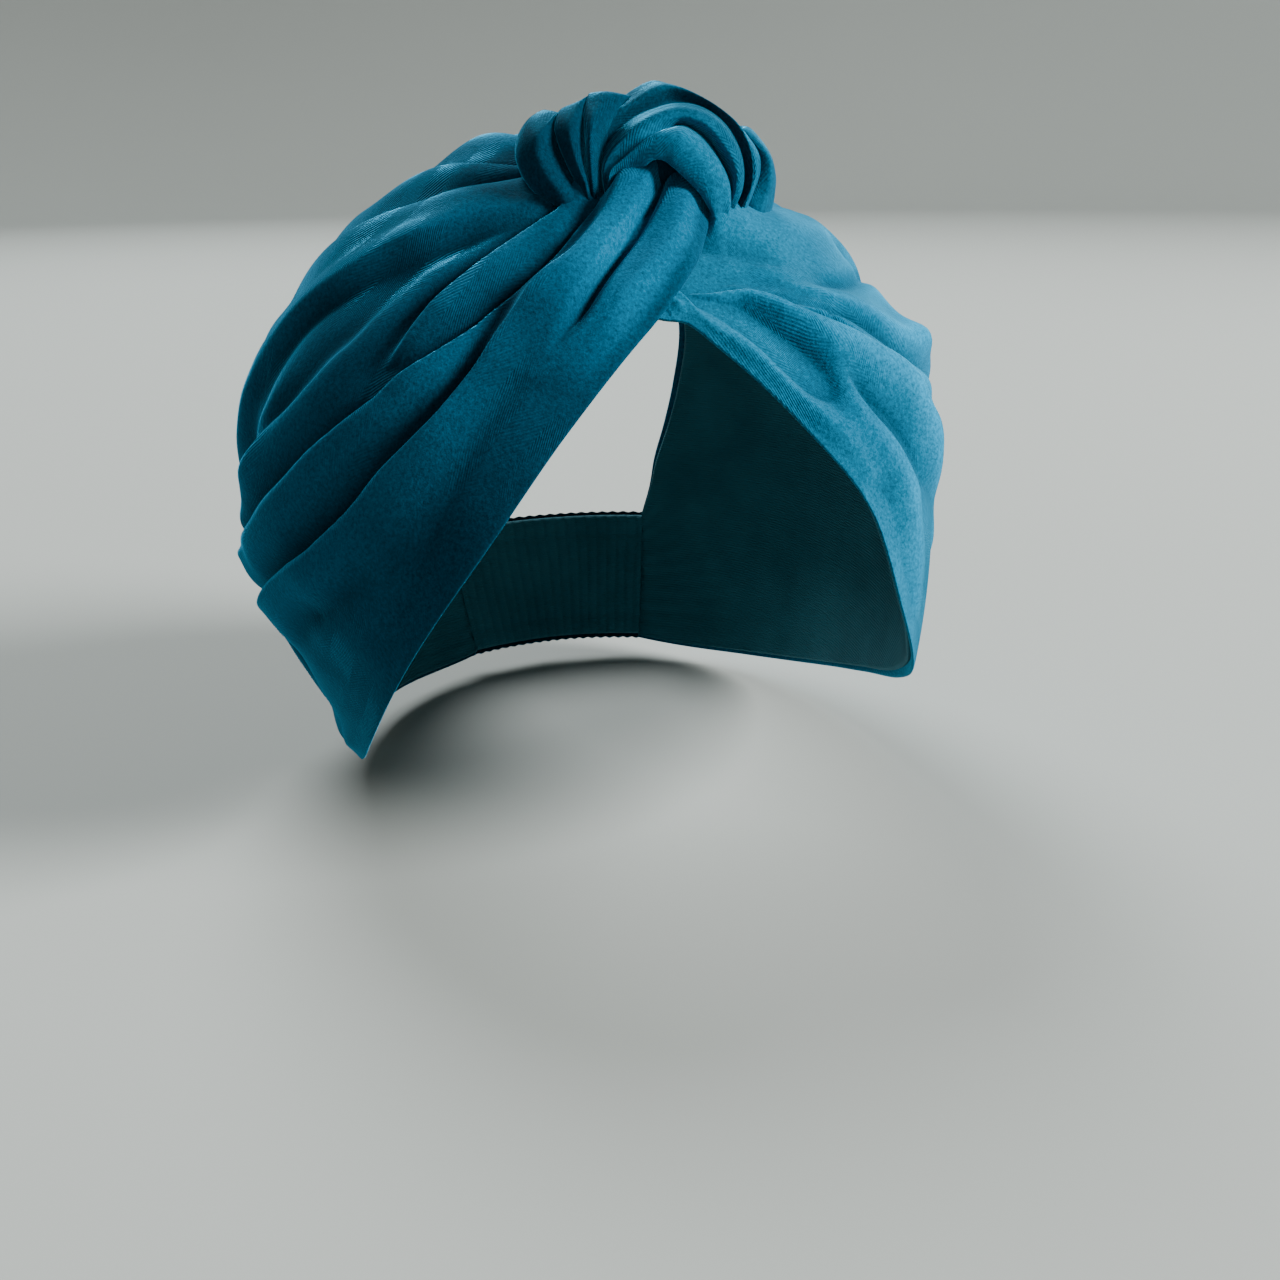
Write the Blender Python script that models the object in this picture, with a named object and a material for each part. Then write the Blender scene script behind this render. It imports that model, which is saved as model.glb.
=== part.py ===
"""Knotted velvet headband, pre-tied turban style.

Two wide velvet panels run from a knot above the forehead, over the ears, to a
ruched casing at the nape that holds a flat elastic.  The frame is +Z up, the
face looks along -Y and the wearer's left is +X.  The origin is the centre of
the head opening.  Every soft piece is a shell laid over one head form, stated
by how far its inner and outer faces stand off that form.
"""
import math

import bmesh
import bpy
import numpy as np

# ---------------------------------------------------------------- dimensions
MM = 0.001
HEAD_HALF_WIDTH = 80.0       # widest half width of the head form, mm
HEAD_FRONT = 108.0           # reach of the forehead in front of the origin
HEAD_BACK = 86.0             # reach of the back of the head
CROWN_Z = 91.0               # height of the crown above the origin
WIDEST_Z = 20.0
FRONT_Z = -14.0
BACK_Z = 13.0
ROUND = 2.15                 # squareness of a level section
CENTRE = np.array([0.0, -6.7, 0.0])   # point that all shells are laid out from

LINING_IN, LINING_OUT = 0.8, 1.9      # stand-off of the lining
WRAP_IN = 2.6                         # inner face of the velvet panels
WRAP_OUT = 5.0                        # outer face, before the puffed parts
CLEAR = 0.6                           # clearance between stacked layers
NAPE_HALF_ANGLE = 21.0                # casing reaches this far each side of the nape
ELASTIC_IN, ELASTIC_OUT = 2.6, 4.0
CASING_IN, CASING_OUT = 4.7, 8.2
SEAM_R = 0.45                         # thread radius
NAPE_LOW, NAPE_HIGH = -36.0, -9.5     # elevation of the casing's two edges

KNOT_AT = np.array([6.8, -29.0, 87.0])   # on the head form under the knot
KNOT_X = np.array([1.0, 0.0, 0.0])
KNOT_Y = np.array([0.0, 0.97, 0.25])     # backwards along the head


# ---------------------------------------------------------------- head form
def inside(p, d):
    """Negative inside the head form grown by d (mm)."""
    x, y, z = p[..., 0], p[..., 1], p[..., 2]
    rise = CROWN_Z - WIDEST_Z
    zz = np.where(z > WIDEST_Z, WIDEST_Z + (z - WIDEST_Z) * rise / (rise + d), z)
    up = np.clip((zz - WIDEST_Z) / rise, 0, 1)
    low = np.clip((WIDEST_Z - zz) / 68.0, 0, None)
    a = np.where(zz > WIDEST_Z,
                 (HEAD_HALF_WIDTH + d) * np.clip(1 - up ** 2.5, 0, None) ** (1 / 2.2),
                 HEAD_HALF_WIDTH * (1 - 0.14 * low ** 1.5) + d)
    uf = np.clip((zz - FRONT_Z) / (CROWN_Z - FRONT_Z), 0, 1)
    bf = (HEAD_FRONT + d) * np.clip(1 - uf ** 2, 0, None) ** (1 / 1.75)
    ub = np.clip((zz - BACK_Z) / (CROWN_Z - BACK_Z), 0, 1)
    lb = np.clip((BACK_Z - zz) / 88.0, 0, None)
    bb = np.where(zz > BACK_Z,
                  (HEAD_BACK + d) * np.clip(1 - ub ** 2.2, 0, None) ** 0.5,
                  HEAD_BACK * (1 - 0.35 * lb ** 2) + d)
    b = np.where(y < 0, bf, bb)
    a = np.maximum(a, 1e-3)
    b = np.maximum(b, 1e-3)
    v = (np.abs(x) / a) ** ROUND + (np.abs(y) / b) ** ROUND
    return np.where(zz >= CROWN_Z, 9.0, v) - 1


def on_form(dirs, d):
    """Points at stand-off d along unit directions from CENTRE."""
    d = np.broadcast_to(np.asarray(d, float), dirs.shape[:-1])
    lo = np.zeros(dirs.shape[:-1])
    hi = np.full(dirs.shape[:-1], 260.0)
    for _ in range(46):
        mid = (lo + hi) / 2
        out = inside(CENTRE + dirs * mid[..., None], d) > 0
        hi = np.where(out, mid, hi)
        lo = np.where(out, lo, mid)
    return CENTRE + dirs * lo[..., None]


def unit(v):
    v = np.asarray(v, float)
    return v / np.linalg.norm(v, axis=-1, keepdims=True)


def toward(az, el):
    """Unit direction: azimuth 0 is the face, + to the wearer's left."""
    az, el = np.radians(az), np.radians(el)
    return np.stack([np.sin(az) * np.cos(el), -np.cos(az) * np.cos(el), np.sin(el)], -1)


def angles(dirs):
    az = np.degrees(np.arctan2(dirs[..., 0], -dirs[..., 1]))
    el = np.degrees(np.arcsin(np.clip(dirs[..., 2], -1, 1)))
    return az, el


def along(stations, s):
    """Smooth direction through (s, azimuth, elevation) stations."""
    k = np.array([st[0] for st in stations])
    q = np.array([toward(st[1], st[2]) for st in stations])
    m = np.zeros_like(q)
    m[1:-1] = (q[2:] - q[:-2]) / (k[2:] - k[:-2])[:, None]
    m[0] = (q[1] - q[0]) / (k[1] - k[0])
    m[-1] = (q[-1] - q[-2]) / (k[-1] - k[-2])
    s = np.asarray(s, float)
    i = np.clip(np.searchsorted(k, s, side="right") - 1, 0, len(k) - 2)
    h = (k[i + 1] - k[i])[..., None]
    t = ((s - k[i]) / (k[i + 1] - k[i]))[..., None]
    p = ((2 * t ** 3 - 3 * t ** 2 + 1) * q[i] + (t ** 3 - 2 * t ** 2 + t) * h * m[i]
         + (3 * t ** 2 - 2 * t ** 3) * q[i + 1] + (t ** 3 - t ** 2) * h * m[i + 1])
    return unit(p)


def arc(a, b, t):
    """Great-circle blend from direction a to direction b."""
    w = np.arccos(np.clip((a * b).sum(-1), -1, 1))[..., None]
    t = t[..., None]
    return unit((np.sin((1 - t) * w) * a + np.sin(t * w) * b) / np.sin(w))


def bump(dirs, az, el, wide):
    """Smooth hill, 1 at the direction (az, el), fading over `wide` degrees."""
    ang = np.degrees(np.arccos(np.clip(dirs @ toward(az, el), -1, 1)))
    return np.exp(-(ang / wide) ** 2)


def wrap_out(dirs):
    """Stand-off of the outer face of the panels."""
    return (WRAP_OUT + 9.0 * bump(dirs, -95, 8, 36) + 3.5 * bump(dirs, 72, 36, 26)
            + 1.2 * bump(dirs, 115, 10, 40) + 10.0 * bump(dirs, -112, 78, 24))


# ---------------------------------------------------------------- panels
# (share of the way from knot to nape, azimuth, elevation)
RIGHT_FRONT = [(0, -1.0, 49.2), (.1, -11, 40.6), (.2, -20, 28.5), (.35, -30.5, 13.5),
               (.5, -47.4, -8.8), (.6, -64, -26.5), (.75, -97, -35.5), (.88, -130, -37.0),
               (1, -158, -36.5)]
RIGHT_REAR = [(0, 180, 76), (.1, -165, 68), (.2, -155, 60), (.35, -150, 47), (.5, -150, 33),
              (.65, -153, 18), (.8, -157, 4), (1, -158, -9.5)]
LEFT_FRONT = [(0, -1.0, 49.2), (.1, 9.7, 43.5), (.2, 18, 30.2), (.35, 29, 9.5),
              (.45, 34, -5.0), (.6, 56, -24.5), (.75, 93, -35.0), (.88, 129, -37.0),
              (1, 158, -36.5)]
LEFT_REAR = [(s, -az if az != 180 else 180, el) for s, az, el in RIGHT_REAR]


def panel(front, rear, side):
    def dirs(u, v):
        f = along(front, u)
        r = along(rear, u)
        shift = (1 - np.clip(u / 0.05, 0, 1))[..., None] * 0.0035 * side * np.array([1.0, 0, 0])
        return unit(arc(f, r, v) + shift)
    return dirs


def nape(low, high, half):
    def dirs(u, v):
        return toward(180 - half + 2 * half * u, low + (high - low) * v)
    return dirs


def knot_patch(u0, u1, v0, v1, skew=0.0):
    """Patch on the form under the knot, in mm across (u) and back (v)."""
    def dirs(u, v):
        x = u0 + (u1 - u0) * u
        y = v0 + (v1 - v0) * v
        p = KNOT_AT + (x + skew * y)[..., None] * KNOT_X + y[..., None] * KNOT_Y
        return unit(p - CENTRE)
    return dirs


def dome(u, v, power=2.6):
    """1 in the middle of a patch, falling to 0 at its rim."""
    a = np.abs(2 * u - 1) ** power
    b = np.abs(2 * v - 1) ** power
    return np.clip(1 - a, 0, 1) ** 0.5 * np.clip(1 - b, 0, 1) ** 0.5


# ---------------------------------------------------------------- building
def material(name, colour, rough):
    m = bpy.data.materials.new(name)
    m.use_nodes = True
    p = m.node_tree.nodes["Principled BSDF"]
    p.inputs["Base Color"].default_value = (*colour, 1.0)
    p.inputs["Roughness"].default_value = rough
    p.inputs["Metallic"].default_value = 0.0
    m.diffuse_color = (*colour, 1.0)
    return m


def add(collection, name, mesh, mat, origin):
    ob = bpy.data.objects.new(name, mesh)
    collection.objects.link(ob)
    mesh.materials.append(mat)
    mesh.shade_smooth()
    mesh.set_sharp_from_angle(angle=math.radians(40))
    ob.location = origin
    return ob


def shell(collection, name, dirs, inner, outer, nu, nv, mat, origin=(0, 0, 0)):
    """Closed shell: two grids laid on the form, joined round their rims."""
    bm = bmesh.new()
    rims = []
    for level in (inner, outer):
        made = bmesh.ops.create_grid(bm, x_segments=nu, y_segments=nv, size=0.5)
        verts = made["verts"]
        flat = np.array([v.co[:] for v in verts])
        u, v = flat[:, 0] + 0.5, flat[:, 1] + 0.5
        w = dirs(u, v)
        d = level(u, v, w) if callable(level) else np.full(len(u), level)
        p = on_form(w, d) * MM - np.array(origin)
        for vert, co in zip(verts, p):
            vert.co = co
        mine = set(verts)
        rims += [e for e in bm.edges if e.is_boundary and e.verts[0] in mine]
    bmesh.ops.bridge_loops(bm, edges=rims)
    bmesh.ops.recalc_face_normals(bm, faces=bm.faces)
    mesh = bpy.data.meshes.new(name)
    bm.to_mesh(mesh)
    bm.free()
    return add(collection, name, mesh, mat, origin)


def thread(collection, name, az, mat, origin):
    """Seam thread across the casing's end, lying on its outer face."""
    n = 9
    el = np.linspace(NAPE_LOW + 1.5, NAPE_HIGH - 1.5, n)
    p = on_form(toward(np.full(n, az), el), CASING_OUT + 0.5 + SEAM_R) * MM - np.array(origin)
    cu = bpy.data.curves.new(name, "CURVE")
    cu.dimensions = "3D"
    cu.bevel_depth = SEAM_R * MM
    cu.bevel_resolution = 2
    cu.use_fill_caps = True
    sp = cu.splines.new("POLY")
    sp.points.add(n - 1)
    for pt, co in zip(sp.points, p):
        pt.co = (*co, 1.0)
    cu.materials.append(mat)
    ob = bpy.data.objects.new(name, cu)
    collection.objects.link(ob)
    ob.location = origin
    return ob


def main():
    for ob in list(bpy.data.objects):
        bpy.data.objects.remove(ob, do_unlink=True)
    coll = bpy.data.collections.new("knotted_headband")
    bpy.context.scene.collection.children.link(coll)

    velvet = material("velvet", (0.006, 0.075, 0.125), 0.75)
    knot_velvet = material("velvet_knot", (0.008, 0.09, 0.145), 0.75)
    lining = material("lining", (0.02, 0.10, 0.14), 0.85)
    elastic = material("elastic", (0.75, 0.74, 0.70), 0.8)
    casing = material("casing_velvet", (0.006, 0.075, 0.125), 0.75)
    sewing = material("thread", (0.01, 0.07, 0.11), 0.6)

    right = panel(RIGHT_FRONT, RIGHT_REAR, -1)
    left = panel(LEFT_FRONT, LEFT_REAR, 1)
    face = lambda u, v, w: wrap_out(w)

    shell(coll, "right_lining", right, LINING_IN, LINING_OUT, 18, 9, lining)
    shell(coll, "left_lining", left, LINING_IN, LINING_OUT, 18, 9, lining)
    shell(coll, "right_wrap", right, WRAP_IN, face, 24, 12, velvet)
    shell(coll, "left_wrap", left, WRAP_IN, face, 24, 12, velvet)

    # knot: core on the panels, loop over the core, fan and wing beside it
    on_panel = lambda u, v, w: wrap_out(w) + CLEAR
    shell(coll, "knot_core", knot_patch(-5.5, 15.5, -19, 10), on_panel,
          lambda u, v, w: on_panel(u, v, w) + 2.0 + 5.0 * dome(u, v), 8, 10, knot_velvet)

    def loop_in(u, v, w):
        x = -10 + 30.0 * u
        rise = np.clip(1 - np.abs((x - 5.0) / 14.4) ** 6, 0, 1) ** 0.5
        return on_panel(u, v, w) + 8.4 * rise

    shell(coll, "knot_front_loop", knot_patch(-10, 20, -13, 10), loop_in,
          lambda u, v, w: loop_in(u, v, w) + 3.0 + 9.5 * dome(u, v), 15, 8, knot_velvet)
    shell(coll, "knot_right_fan", knot_patch(-26, -10.8, -12, 14), on_panel,
          lambda u, v, w: on_panel(u, v, w) + 3.0 + 13.0 * dome(u, v), 9, 9, knot_velvet)
    shell(coll, "knot_left_wing", knot_patch(20.8, 29, -6, 17), on_panel,
          lambda u, v, w: on_panel(u, v, w) + 3.0 + 13.0 * dome(u, v), 7, 9, knot_velvet)

    # nape: casing, its lining and the elastic between them, all on one sliding body
    hub = bpy.data.objects.new("nape_slide", None)
    hub.empty_display_type = "PLAIN_AXES"
    hub.location = (0.0, float(on_form(toward(180.0, -22.0)[None], 4.0)[0, 1]) * MM, -0.03)
    coll.objects.link(hub)
    made = [
        shell(coll, "nape_casing_lining", nape(NAPE_LOW + .5, NAPE_HIGH - .5, NAPE_HALF_ANGLE),
              LINING_IN, LINING_OUT, 10, 5, lining),
        shell(coll, "nape_elastic", nape(-31, -14.5, NAPE_HALF_ANGLE - 1), ELASTIC_IN,
              ELASTIC_OUT, 10, 3, elastic),
        shell(coll, "nape_casing", nape(NAPE_LOW, NAPE_HIGH, NAPE_HALF_ANGLE), CASING_IN,
              CASING_OUT, 12, 6, casing),
        thread(coll, "right_nape_seam", -(180 - NAPE_HALF_ANGLE + 1.0), sewing, (0, 0, 0)),
        thread(coll, "left_nape_seam", 180 - NAPE_HALF_ANGLE + 1.0, sewing, (0, 0, 0)),
    ]
    bpy.context.view_layer.update()
    for ob in made:
        ob.parent = hub
        ob.location = ob.location - hub.location
    bpy.context.view_layer.update()


main()
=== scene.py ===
"""Knotted velvet headband: the visual model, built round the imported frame.

Panels are laid over the same head form as the solids.  Their pleats are crest
and valley lines drawn as directions (azimuth, elevation) from the form's
centre; the knot's lobes are swept folds.  Millimetres inside, metres outside.
"""
import math

import bmesh
import bpy
import numpy as np
from mathutils import Matrix, Vector


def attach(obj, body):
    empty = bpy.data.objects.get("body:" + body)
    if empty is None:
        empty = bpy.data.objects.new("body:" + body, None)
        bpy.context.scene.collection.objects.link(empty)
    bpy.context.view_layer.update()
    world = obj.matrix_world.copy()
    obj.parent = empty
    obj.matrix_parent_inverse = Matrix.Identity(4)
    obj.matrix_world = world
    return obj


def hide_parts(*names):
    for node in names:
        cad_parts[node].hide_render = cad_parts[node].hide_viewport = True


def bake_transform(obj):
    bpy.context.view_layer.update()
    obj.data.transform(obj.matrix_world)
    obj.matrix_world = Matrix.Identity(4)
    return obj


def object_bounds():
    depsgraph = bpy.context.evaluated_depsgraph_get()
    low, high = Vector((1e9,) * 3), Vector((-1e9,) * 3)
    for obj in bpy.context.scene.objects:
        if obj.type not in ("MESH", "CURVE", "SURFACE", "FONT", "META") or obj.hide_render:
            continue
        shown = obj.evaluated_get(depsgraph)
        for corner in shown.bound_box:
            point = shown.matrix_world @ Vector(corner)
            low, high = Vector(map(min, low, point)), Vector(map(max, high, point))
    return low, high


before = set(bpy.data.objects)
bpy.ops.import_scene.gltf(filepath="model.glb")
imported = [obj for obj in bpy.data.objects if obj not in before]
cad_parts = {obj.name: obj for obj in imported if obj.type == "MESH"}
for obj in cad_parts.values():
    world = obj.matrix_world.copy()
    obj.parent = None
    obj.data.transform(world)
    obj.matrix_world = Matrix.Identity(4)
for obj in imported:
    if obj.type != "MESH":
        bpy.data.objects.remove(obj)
CAD_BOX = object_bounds()
MM = 0.001
RES = 1.0            # share of full mesh density

# ------------------------------------------------------------------ head form
HALF_W, FRONT, BACK = 80.0, 108.0, 86.0
CROWN_Z, WIDE_Z, FRONT_Z, BACK_Z = 91.0, 20.0, -14.0, 13.0
ROUND = 2.15
CENTRE = np.array([0.0, -6.7, 0.0])
RISE = CROWN_Z - WIDE_Z
NAPE_AZ = 158.7          # where panels end and the casing begins
NAPE_LOW, NAPE_HIGH = -36.0, -9.5


def inside(p, d):
    x, y, z = p[..., 0], p[..., 1], p[..., 2]
    zz = np.where(z > WIDE_Z, WIDE_Z + (z - WIDE_Z) * RISE / (RISE + d), z)
    up = np.clip((zz - WIDE_Z) / RISE, 0, 1)
    low = np.clip((WIDE_Z - zz) / 68.0, 0, None)
    a = np.where(zz > WIDE_Z, (HALF_W + d) * np.clip(1 - up ** 2.5, 0, None) ** (1 / 2.2),
                 HALF_W * (1 - 0.14 * low ** 1.5) + d)
    uf = np.clip((zz - FRONT_Z) / (CROWN_Z - FRONT_Z), 0, 1)
    bf = (FRONT + d) * np.clip(1 - uf ** 2, 0, None) ** (1 / 1.75)
    ub = np.clip((zz - BACK_Z) / (CROWN_Z - BACK_Z), 0, 1)
    lb = np.clip((BACK_Z - zz) / 88.0, 0, None)
    bb = np.where(zz > BACK_Z, (BACK + d) * np.clip(1 - ub ** 2.2, 0, None) ** 0.5,
                  BACK * (1 - 0.35 * lb ** 2) + d)
    b = np.maximum(np.where(y < 0, bf, bb), 1e-3)
    a = np.maximum(a, 1e-3)
    v = (np.abs(x) / a) ** ROUND + (np.abs(y) / b) ** ROUND
    return np.where(zz >= CROWN_Z, 9.0, v) - 1


def reach(dirs, d):
    lo = np.zeros(dirs.shape[:-1])
    hi = np.full(dirs.shape[:-1], 200.0)
    for _ in range(26):
        mid = (lo + hi) / 2
        out = inside(CENTRE + dirs * mid[..., None], d) > 0
        hi = np.where(out, mid, hi)
        lo = np.where(out, lo, mid)
    return (lo + hi) / 2


class Form:
    """Points at any stand-off along a fixed set of directions."""

    def __init__(self, dirs):
        self.dirs = dirs
        self.r0, self.r1 = reach(dirs, 0.0), reach(dirs, 16.0)

    def at(self, d):
        r = self.r0 + (self.r1 - self.r0) * d / 16.0
        return CENTRE + self.dirs * r[..., None]


def unit(v):
    v = np.asarray(v, float)
    return v / np.maximum(np.linalg.norm(v, axis=-1, keepdims=True), 1e-12)


def toward(az, el):
    az, el = np.radians(az), np.radians(el)
    return np.stack([np.sin(az) * np.cos(el), -np.cos(az) * np.cos(el), np.sin(el)], -1)


def smooth(x, a, b):
    t = np.clip((x - a) / (b - a), 0, 1)
    return t * t * (3 - 2 * t)


def hermite(k, q, s):
    """Smooth curve through rows q at parameters k."""
    k, q, s = np.asarray(k, float), np.asarray(q, float), np.asarray(s, float)
    m = np.zeros_like(q)
    m[1:-1] = (q[2:] - q[:-2]) / (k[2:] - k[:-2])[:, None]
    m[0] = (q[1] - q[0]) / (k[1] - k[0])
    m[-1] = (q[-1] - q[-2]) / (k[-1] - k[-2])
    i = np.clip(np.searchsorted(k, s, side="right") - 1, 0, len(k) - 2)
    h = (k[i + 1] - k[i])[..., None]
    t = ((s - k[i]) / (k[i + 1] - k[i]))[..., None]
    return ((2 * t ** 3 - 3 * t ** 2 + 1) * q[i] + (t ** 3 - 2 * t ** 2 + t) * h * m[i]
            + (3 * t ** 2 - 2 * t ** 3) * q[i + 1] + (t ** 3 - t ** 2) * h * m[i + 1])


def along(stations, s):
    k = [st[0] for st in stations]
    return unit(hermite(k, np.array([toward(st[1], st[2]) for st in stations]), s))


def arc(a, b, t):
    w = np.arccos(np.clip((a * b).sum(-1), -1, 1))[..., None]
    t = t[..., None]
    return unit((np.sin((1 - t) * w) * a + np.sin(t * w) * b) / np.sin(w))


def bump(dirs, az, el, wide):
    ang = np.degrees(np.arccos(np.clip(dirs @ toward(az, el), -1, 1)))
    return np.exp(-(ang / wide) ** 2)


def stand(dirs):
    """Stand-off of the panels' outer solids."""
    return (5.0 + 9.0 * bump(dirs, -95, 8, 36) + 3.5 * bump(dirs, 72, 36, 26)
            + 1.2 * bump(dirs, 115, 10, 40) + 10.0 * bump(dirs, -112, 78, 24))


def ripple(p, seed, scale):
    """Repeatable smooth noise from a few sine waves; p in mm."""
    rng = np.random.RandomState(seed)
    out = np.zeros(p.shape[:-1])
    for k in range(7):
        d = unit(rng.normal(size=3))
        f = 2 * math.pi / (scale * (0.7 + 0.9 * rng.rand()))
        out += np.sin(p @ d * f + rng.rand() * 6.283)
    return out / 7 ** 0.5 / 1.2


# ------------------------------------------------------------------ pleats
class Line:
    """A pleat line on the sphere of directions, from the knot outwards."""

    def __init__(self, stations, rear, n=110):
        q = np.array([toward(a, e) for a, e in stations])
        k = np.concatenate([[0], np.cumsum(np.arccos(np.clip((q[1:] * q[:-1]).sum(1), -1, 1)))])
        k /= k[-1]
        self.p = unit(hermite(k, q, np.linspace(0, 1, n)))
        tan = np.gradient(self.p, axis=0)
        self.step = np.linalg.norm(tan, axis=1)
        self.tan = unit(tan)
        self.nrm = unit(np.cross(self.p, self.tan))
        if (self.nrm[n // 2] @ (rear - self.p[n // 2])) < 0:
            self.nrm = -self.nrm
        self.n = n

    def field(self, w, radius=97.0):
        """Across distance in mm (+ towards the rear), share along, overshoot mm."""
        i = np.argmax(w @ self.p.T, axis=1)
        v = w - self.p[i]
        f = (v * self.tan[i]).sum(1) / self.step[i]
        x = (v * self.nrm[i]).sum(1) * radius
        q = (i + f) / (self.n - 1)
        over = np.maximum(np.maximum(-q, q - 1), 0) * (self.n - 1) * self.step[i] * radius
        return x, np.clip(q, 0, 1), over


def pick(table, q):
    """Value of a (share, value) table at q."""
    return np.interp(q, [a for a, _ in table], [b for _, b in table])


def crest(w, line, height, front, rear, lean=0.0, trough=0.0, sharp=1.5):
    """A pleat: hill of `height`, `front`/`rear` half widths; returns rise and lean."""
    x, q, over = line.field(w)
    a = pick(height, q) * np.exp(-(over / 4.0) ** 2)
    wf, wr = pick(front, q), pick(rear, q)
    soft = 0.9 + 0.12 * (wf + wr)
    wf, wr = np.maximum(wf, soft), np.maximum(wr, soft)
    side = np.where(x < 0, wf, wr)
    z = np.sqrt((x / side) ** 2 + 0.05) - 0.22
    short = np.minimum(wf, wr)
    sharp = 0.45 * sharp + 1.1
    power = 2.0 - (2.0 - sharp) * np.clip((side / short - 1) / 0.6, 0, 1)
    hill = np.exp(-np.clip(z, 0, None) ** power)
    sgn = np.tanh((wf - wr) / (0.12 * (wf + wr)))
    pit = np.abs(sgn) * np.exp(-((x * np.sign(sgn) - 2.2 * short) / (1.2 * short)) ** 2)
    move = (lean * a * np.exp(-(x / (1.5 * short)) ** 2) * sgn)
    i = np.argmax(w @ line.p.T, axis=1)
    return a * hill - trough * a * pit, move[:, None] * line.nrm[i]


def valley(w, line, depth, width):
    x, q, over = line.field(w)
    return -pick(depth, q) * np.exp(-(over / 3.0) ** 2) * np.exp(-(x / pick(width, q)) ** 2)


# ------------------------------------------------------------------ meshes
def new_object(name, verts, faces):
    me = bpy.data.meshes.new(name)
    me.vertices.add(len(verts))
    me.vertices.foreach_set("co", (np.asarray(verts, float) * MM).ravel())
    faces = np.asarray(faces, dtype=np.int32)
    me.loops.add(faces.size)
    me.loops.foreach_set("vertex_index", faces.ravel())
    me.polygons.add(len(faces))
    me.polygons.foreach_set("loop_start", np.arange(0, faces.size, 4, dtype=np.int32))
    me.polygons.foreach_set("loop_total", np.full(len(faces), 4, dtype=np.int32))
    me.update(calc_edges=True)
    me.validate()
    ob = bpy.data.objects.new(name, me)
    bpy.context.scene.collection.objects.link(ob)
    outward(ob)
    me.shade_smooth()
    return ob


def outward(ob):
    bm = bmesh.new()
    bm.from_mesh(ob.data)
    bmesh.ops.recalc_face_normals(bm, faces=bm.faces)
    if bm.calc_volume(signed=True) < 0:
        bmesh.ops.reverse_faces(bm, faces=bm.faces)
    bm.to_mesh(ob.data)
    bm.free()


def cloth_uv(ob, uv):
    """Cloth coordinates in metres, one pair per vertex."""
    layer = ob.data.uv_layers.new(name="cloth")
    idx = np.empty(len(ob.data.loops), dtype=np.int32)
    ob.data.loops.foreach_get("vertex_index", idx)
    layer.data.foreach_set("uv", (np.asarray(uv, float).reshape(-1, 2)[idx] * MM).ravel())


def grid_uv(points):
    """Distances along both directions of a point grid."""
    a = np.linalg.norm(np.diff(points, axis=0), axis=2).mean(1)
    a = np.concatenate([[0], np.cumsum(a)])[:, None] + np.zeros(points.shape[:2])
    b = np.linalg.norm(np.diff(points, axis=1), axis=2)
    b = np.concatenate([np.zeros((len(points), 1)), np.cumsum(b, axis=1)], 1)
    return np.stack([a, b], -1)


def blurred(a, k, axis, wrap):
    """Running mean over 2k+1 samples."""
    pad = [(0, 0)] * a.ndim
    pad[axis] = (k + 1, k)
    c = np.cumsum(np.pad(a, pad, mode="wrap" if wrap else "edge"), axis=axis)
    n = a.shape[axis]
    hi = np.take(c, np.arange(2 * k + 1, 2 * k + 1 + n), axis=axis)
    lo_ = np.take(c, np.arange(0, n), axis=axis)
    return (hi - lo_) / (2 * k + 1)


def crease_shade(points, inside_point, k, wrap=False):
    """Painted shade and highlight: 0 in creases, 1 on crests; the colour is darkened in creases and lightened
    on crests.
    """
    du = np.gradient(points, axis=0)
    dv = np.gradient(points, axis=1)
    nrm = unit(np.cross(du, dv))
    flip = np.sign(((points - inside_point) * nrm).sum(-1, keepdims=True).mean())
    mean = blurred(blurred(points, k[0], 0, False), k[1], 1, wrap)
    c = ((points - mean) * nrm * flip).sum(-1)
    return np.clip(0.5 + c / 2.6, 0, 1.2)


# stores the painted crease shade and crest highlight per vertex
def set_crease_shade(ob, values):
    layer = ob.data.attributes.new("crease_shade", "FLOAT", "POINT")
    layer.data.foreach_set("value", np.asarray(values, np.float32).ravel())


def two_faces(name, top, low, painted_light_offset=0.0):
    """Closed cloth from an outer and an inner grid of points."""
    nu, nv = top.shape[:2]
    verts = np.concatenate([top.reshape(-1, 3), low.reshape(-1, 3)])
    idx = np.arange(nu * nv).reshape(nu, nv)
    q = np.stack([idx[:-1, :-1], idx[1:, :-1], idx[1:, 1:], idx[:-1, 1:]], -1).reshape(-1, 4)
    off = nu * nv
    faces = [q, q[:, ::-1] + off]
    ring = np.concatenate([idx[0, :-1], idx[:-1, -1], idx[-1, :0:-1], idx[:0:-1, 0]])
    nxt = np.roll(ring, -1)
    faces.append(np.stack([ring, nxt, nxt + off, ring + off], -1))
    ob = new_object(name, verts, np.concatenate(faces))
    uv = grid_uv(top).reshape(-1, 2)
    cloth_uv(ob, np.concatenate([uv, uv]))
    k = (max(2, nu // 36), max(2, nv // 26))
    # painted shade in creases and painted highlight on crests of the outer face, plus an offset of painted
    # light and shade; the inner face gets one fixed, slightly darker tone
    tone = (crease_shade(top, CENTRE, k) + painted_light_offset).clip(0, 1.8).ravel()
    set_crease_shade(ob, np.concatenate([tone, 0 * tone + 0.4]))
    return ob


def spread(n, edge=0.06, share=0.16):
    """0..1 samples, denser within `edge` of both ends."""
    x = np.linspace(0, 1, n)
    return np.interp(x, [0, share, 1 - share, 1], [0, edge, 1 - edge, 1])


def rolled(top, low, e, r, mid):
    """Round both faces together over the last r mm of a free edge."""
    k = np.sqrt(np.clip(1 - (1 - np.clip(e / r, 0, 1)) ** 2, 0, 1))
    return mid + (top - mid) * k + 0.12, mid - (mid - low) * k - 0.12


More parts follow.
